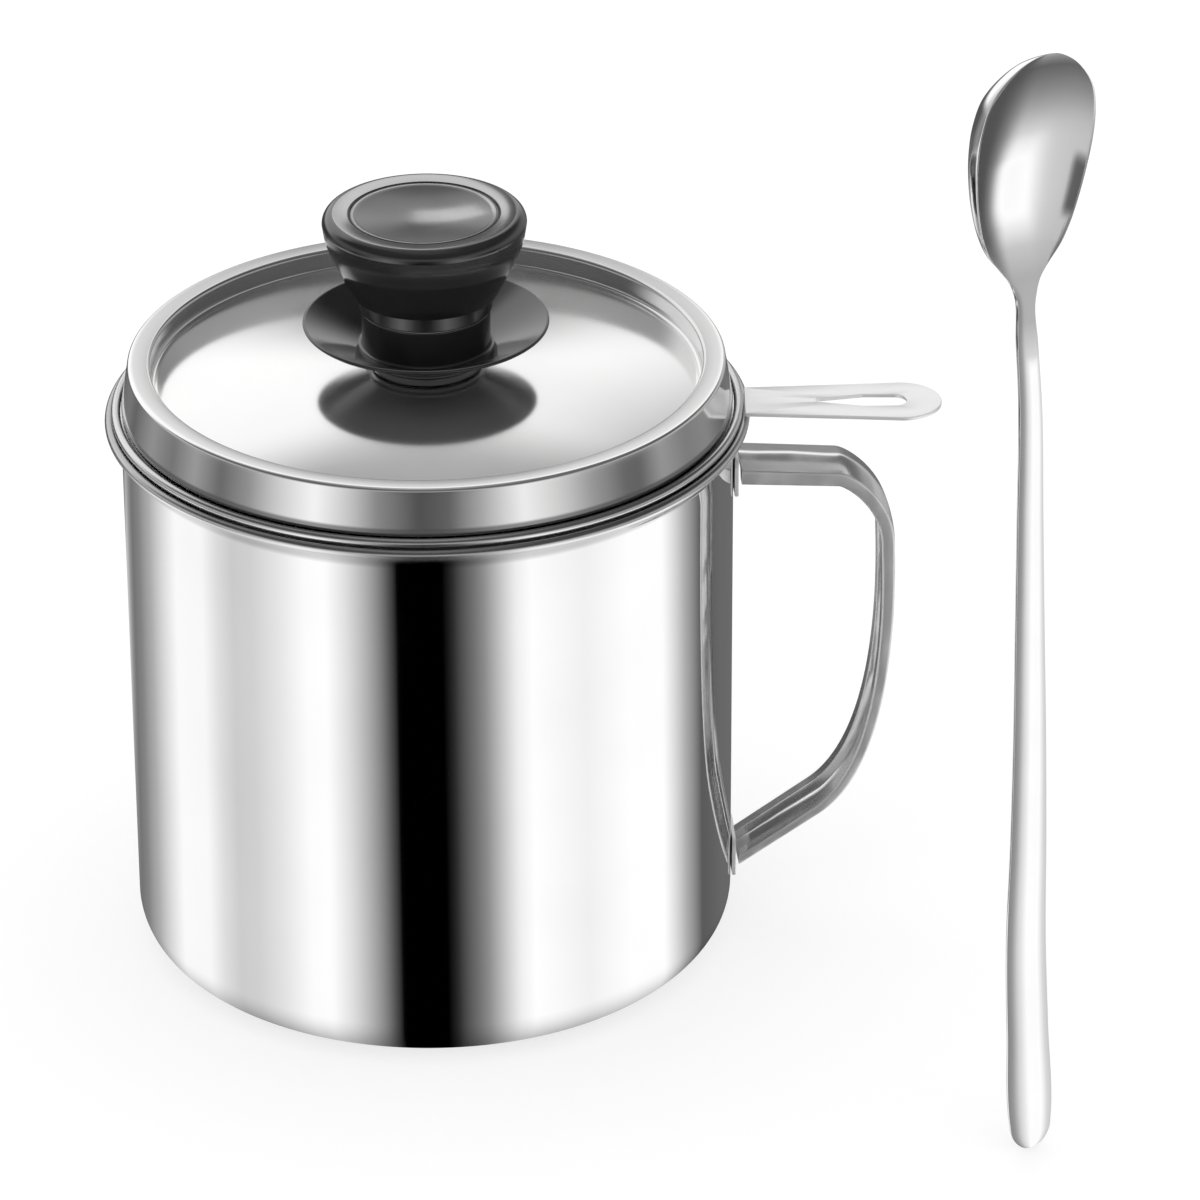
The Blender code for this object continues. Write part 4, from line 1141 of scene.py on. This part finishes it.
# Studio: a white floor under a white sky, and for reflections the bright and dark panels round
# the object. The panels that walls show are given by the wall that shows them: its angle round Z
# from the camera's side, positive to the right, and the sine of its lean, positive upwards.
studio = {
    "floorSize": 12.0, "floorDrop": 0.0002,
    "floorColour": 0.80, "floorShade": 0.42, "floorGlow": 0.64,
    "gain": 1.2,
    # (angle, level) for upright walls
    "lowBands": (
        (-90, 0.55), (-84, 0.46), (-80, 0.25), (-77, 0.16), (-72, 0.22), (-66, 0.41), (-60, 0.74),
        (-56, 0.96), (-48, 0.94), (-44, 0.73), (-40, 0.60), (-35.5, 0.63), (-30, 0.77), (-24, 0.98),
        (-20, 1.0), (-16, 0.74), (-8, 0.09), (-6.3, 0.0), (2.3, 0.0), (4, 0.02), (6, 0.09),
        (8, 0.165), (10, 0.27), (12, 0.45), (16, 0.86), (19, 1.0), (30, 0.88), (40, 1.0), (49, 1.0),
        (56, 0.42), (62, 0.10), (72, 0.13),
    ),
    # (angle, level) for walls that lean in at the top, like the lid's skirt
    "highBands": (
        (-90, 0.12), (-80, 0.144), (-75, 0.084), (-65, 0.254), (-57, 0.138), (-50, 0.301),
        (-43, 0.095), (-36, 0.25), (-30, 0.571), (-22, 0.95), (-16, 0.597), (-10, 0.205),
        (-2, 0.027), (4, 0.076), (10, 0.362), (18, 0.88), (26, 0.565), (32, 0.296), (40, 0.09),
        (44, 0.074), (50, 0.275), (58, 0.162), (66, 0.198), (75, 0.084), (84, 0.133), (90, 0.12),
    ),
    "leanOver": (0.04, 0.13),       # where the first give way to the second
    "skyOver": (0.21, 0.34),        # and these to the sky
    "under": ((-0.89, 0.42), (-0.70, 0.50), (-0.50, 0.66), (-0.26, 0.86), (-0.05, 1.0)),
    # (sine of the height angle, level) of the sky behind the object and in front of it
    "behind": ((-0.08, 0.08), (-0.02, 0.21), (0.01, 0.35), (0.038, 0.5), (0.066, 0.7), (0.09, 0.95),
               (0.12, 1.05), (0.66, 1.0), (0.688, 0.83), (0.702, 0.74), (0.717, 0.62), (0.73, 0.50),
               (0.745, 0.40), (0.77, 0.36), (1.0, 0.30)),
    "ahead": ((-0.1, 0.30), (0.0, 0.42), (0.25, 0.42), (0.45, 0.12), (0.6, 0.05), (0.93, 0.10),
              (1.0, 0.28)),
    "cardPlace": (-0.006, 0.32, 0.337), "cardAim": (0.0, 0.0, 0.169), "cardLevel": 2.3,
    "cardWidth": 0.055, "cardHeight": 0.066,
    "leftSide": (-110.0, -135.0), "rightSide": (150.0, 172.0),
    "plainLevel": 0.3, "plainOver": (0.03, 0.12), "plainBehind": (100.0, 150.0),
}


def grey(level):
    return level, level, level, 1.0


# The levels at their stops, straight between them, over a range of the source
def addRamp(tree, stops, source, low, high):
    place = addNode(tree, "MapRange", source, low, high).outputs[0]
    ramp = addNode(tree, "ValToRGB", place)
    elements = ramp.color_ramp.elements
    while len(elements) < len(stops):
        elements.new(0.5)
    for element, (where, level) in zip(elements, stops):
        element.position = (where - low) / (high - low)
        element.color = grey(level)
    return ramp.outputs["Color"]


# The Mix node keeps a set of sockets for each kind of value; A, B and Result are looked up among
# those for colours
def addMix(tree, share, first, second):
    mix = addNode(tree, "Mix", share, data_type="RGBA")
    firstSocket, secondSocket = (socket for socket in mix.inputs if socket.type == "RGBA")
    feed(tree, firstSocket, first)
    feed(tree, secondSocket, second)
    return next(socket for socket in mix.outputs if socket.type == "RGBA")


# A wall sends the camera's ray on along a direction; the wall's normal is that direction plus the
# one back to the camera, made one long. Angles round Z are arc tangents of the parts along the
# camera's right and towards the camera. Where the sum is nothing, and for walls that face away from
# the camera, one plain level takes over.
def addWorld():
    world = bpy.data.worlds.new("studio")
    bpy.context.scene.world = world
    world.use_nodes = True
    world.cycles.sampling_method = "NONE"
    tree = world.node_tree
    direction = addNode(tree, "TexCoord").outputs["Generated"]
    fall = math.radians(view["fall"])
    back = towardsCamera * math.cos(fall) + Vector((0.0, 0.0, math.sin(fall)))
    added = addVector(tree, "ADD", direction, back)
    normal = addVector(tree, "NORMALIZE", added)

    def turnOf(source):
        parts = [addVector(tree, "DOT_PRODUCT", source, axis)
                 for axis in (rightOfCamera, towardsCamera)]
        return addMath(tree, "DEGREES", addMath(tree, "ARCTAN2", *parts))

    def fadeOver(source, ends, first, second):
        return addMix(tree, addFade(tree, source, *studio[ends]), first, second)

    height, lean, wall = partOf(tree, direction, "Z"), partOf(tree, normal, "Z"), turnOf(normal)
    low, high = (addRamp(tree, studio[key], wall, -90.0, 90.0) for key in ("lowBands", "highBands"))
    behind, ahead = (addRamp(tree, studio[key], height, -1.0, 1.0) for key in ("behind", "ahead"))
    sides = [addFade(tree, turnOf(direction), *studio[side]) for side in ("leftSide", "rightSide")]
    sky = addMix(tree, addMath(tree, "MAXIMUM", *sides), ahead, behind)
    low = addVector(tree, "MULTIPLY", low, addRamp(tree, studio["under"], lean, -1.0, 1.0))
    panels = fadeOver(lean, "skyOver", fadeOver(lean, "leanOver", low, high), sky)
    plain = grey(studio["plainLevel"])
    panels = fadeOver(addVector(tree, "LENGTH", added), "plainOver", plain, panels)
    panels = fadeOver(addMath(tree, "ABSOLUTE", wall), "plainBehind", panels, plain)
    mirrored = addVector(tree, "SCALE", panels, Scale=studio["gain"])
    glossy = addNode(tree, "LightPath").outputs["Is Glossy Ray"]
    shown = addMix(tree, glossy, grey(1.0), mirrored)
    feed(tree, tree.nodes["Background"].inputs["Color"], shown)


# The floor adds a glow to a shaded white, so that it is white but keeps a soft shadow. From below
# it is clear, and reflections show the panels in its place.
def addFloor():
    half, drop = studio["floorSize"] / 2, studio["floorDrop"]
    mesh = bpy.data.meshes.new("floor")
    mesh.from_pydata([(-half, -half, -drop), (half, -half, -drop), (half, half, -drop),
                      (-half, half, -drop)], [], [(0, 1, 2, 3)])
    floor = addObject("floor", mesh)
    material = bpy.data.materials.new("floorWhite")
    material.use_nodes = True
    tree = material.node_tree
    tree.nodes.clear()
    shade, plain = (addNode(tree, "BsdfDiffuse", grey(studio[tone])).outputs[0]
                    for tone in ("floorShade", "floorColour"))
    glow = addNode(tree, "Emission", Strength=studio["floorGlow"]).outputs[0]
    both = addNode(tree, "AddShader", shade, glow).outputs[0]
    camera = addNode(tree, "LightPath").outputs["Is Camera Ray"]
    seen = addNode(tree, "MixShader", camera, plain, both).outputs[0]
    below = addNode(tree, "NewGeometry").outputs["Backfacing"]
    clear = addNode(tree, "BsdfTransparent").outputs[0]
    sides = addNode(tree, "MixShader", below, seen, clear).outputs[0]
    addNode(tree, "OutputMaterial", sides)
    mesh.materials.append(material)
    floor.visible_glossy = False


# A small card behind the keeper that lights the top of the knob alone
def addCard():
    data = bpy.data.lights.new("card", "AREA")
    data.shape = "RECTANGLE"
    data.size, data.size_y = studio["cardWidth"], studio["cardHeight"]
    data.energy = studio["cardLevel"] * math.pi * data.size * data.size_y
    card = addObject("card", data)
    aim = Vector(studio["cardAim"]) - Vector(studio["cardPlace"])
    turn = aim.to_track_quat("-Z", "Y").to_matrix().to_4x4()
    card.matrix_world = Matrix.Translation(studio["cardPlace"]) @ turn
    card.visible_camera = False
    card.visible_diffuse = False
    lit = bpy.data.collections.new("cardLit")
    lit.objects.link(grip)
    lit.objects.link(cap)
    card.light_linking.receiver_collection = lit


addWorld()
addFloor()
addCard()
bpy.context.scene.view_settings.view_transform = "Standard"
print("studio set")
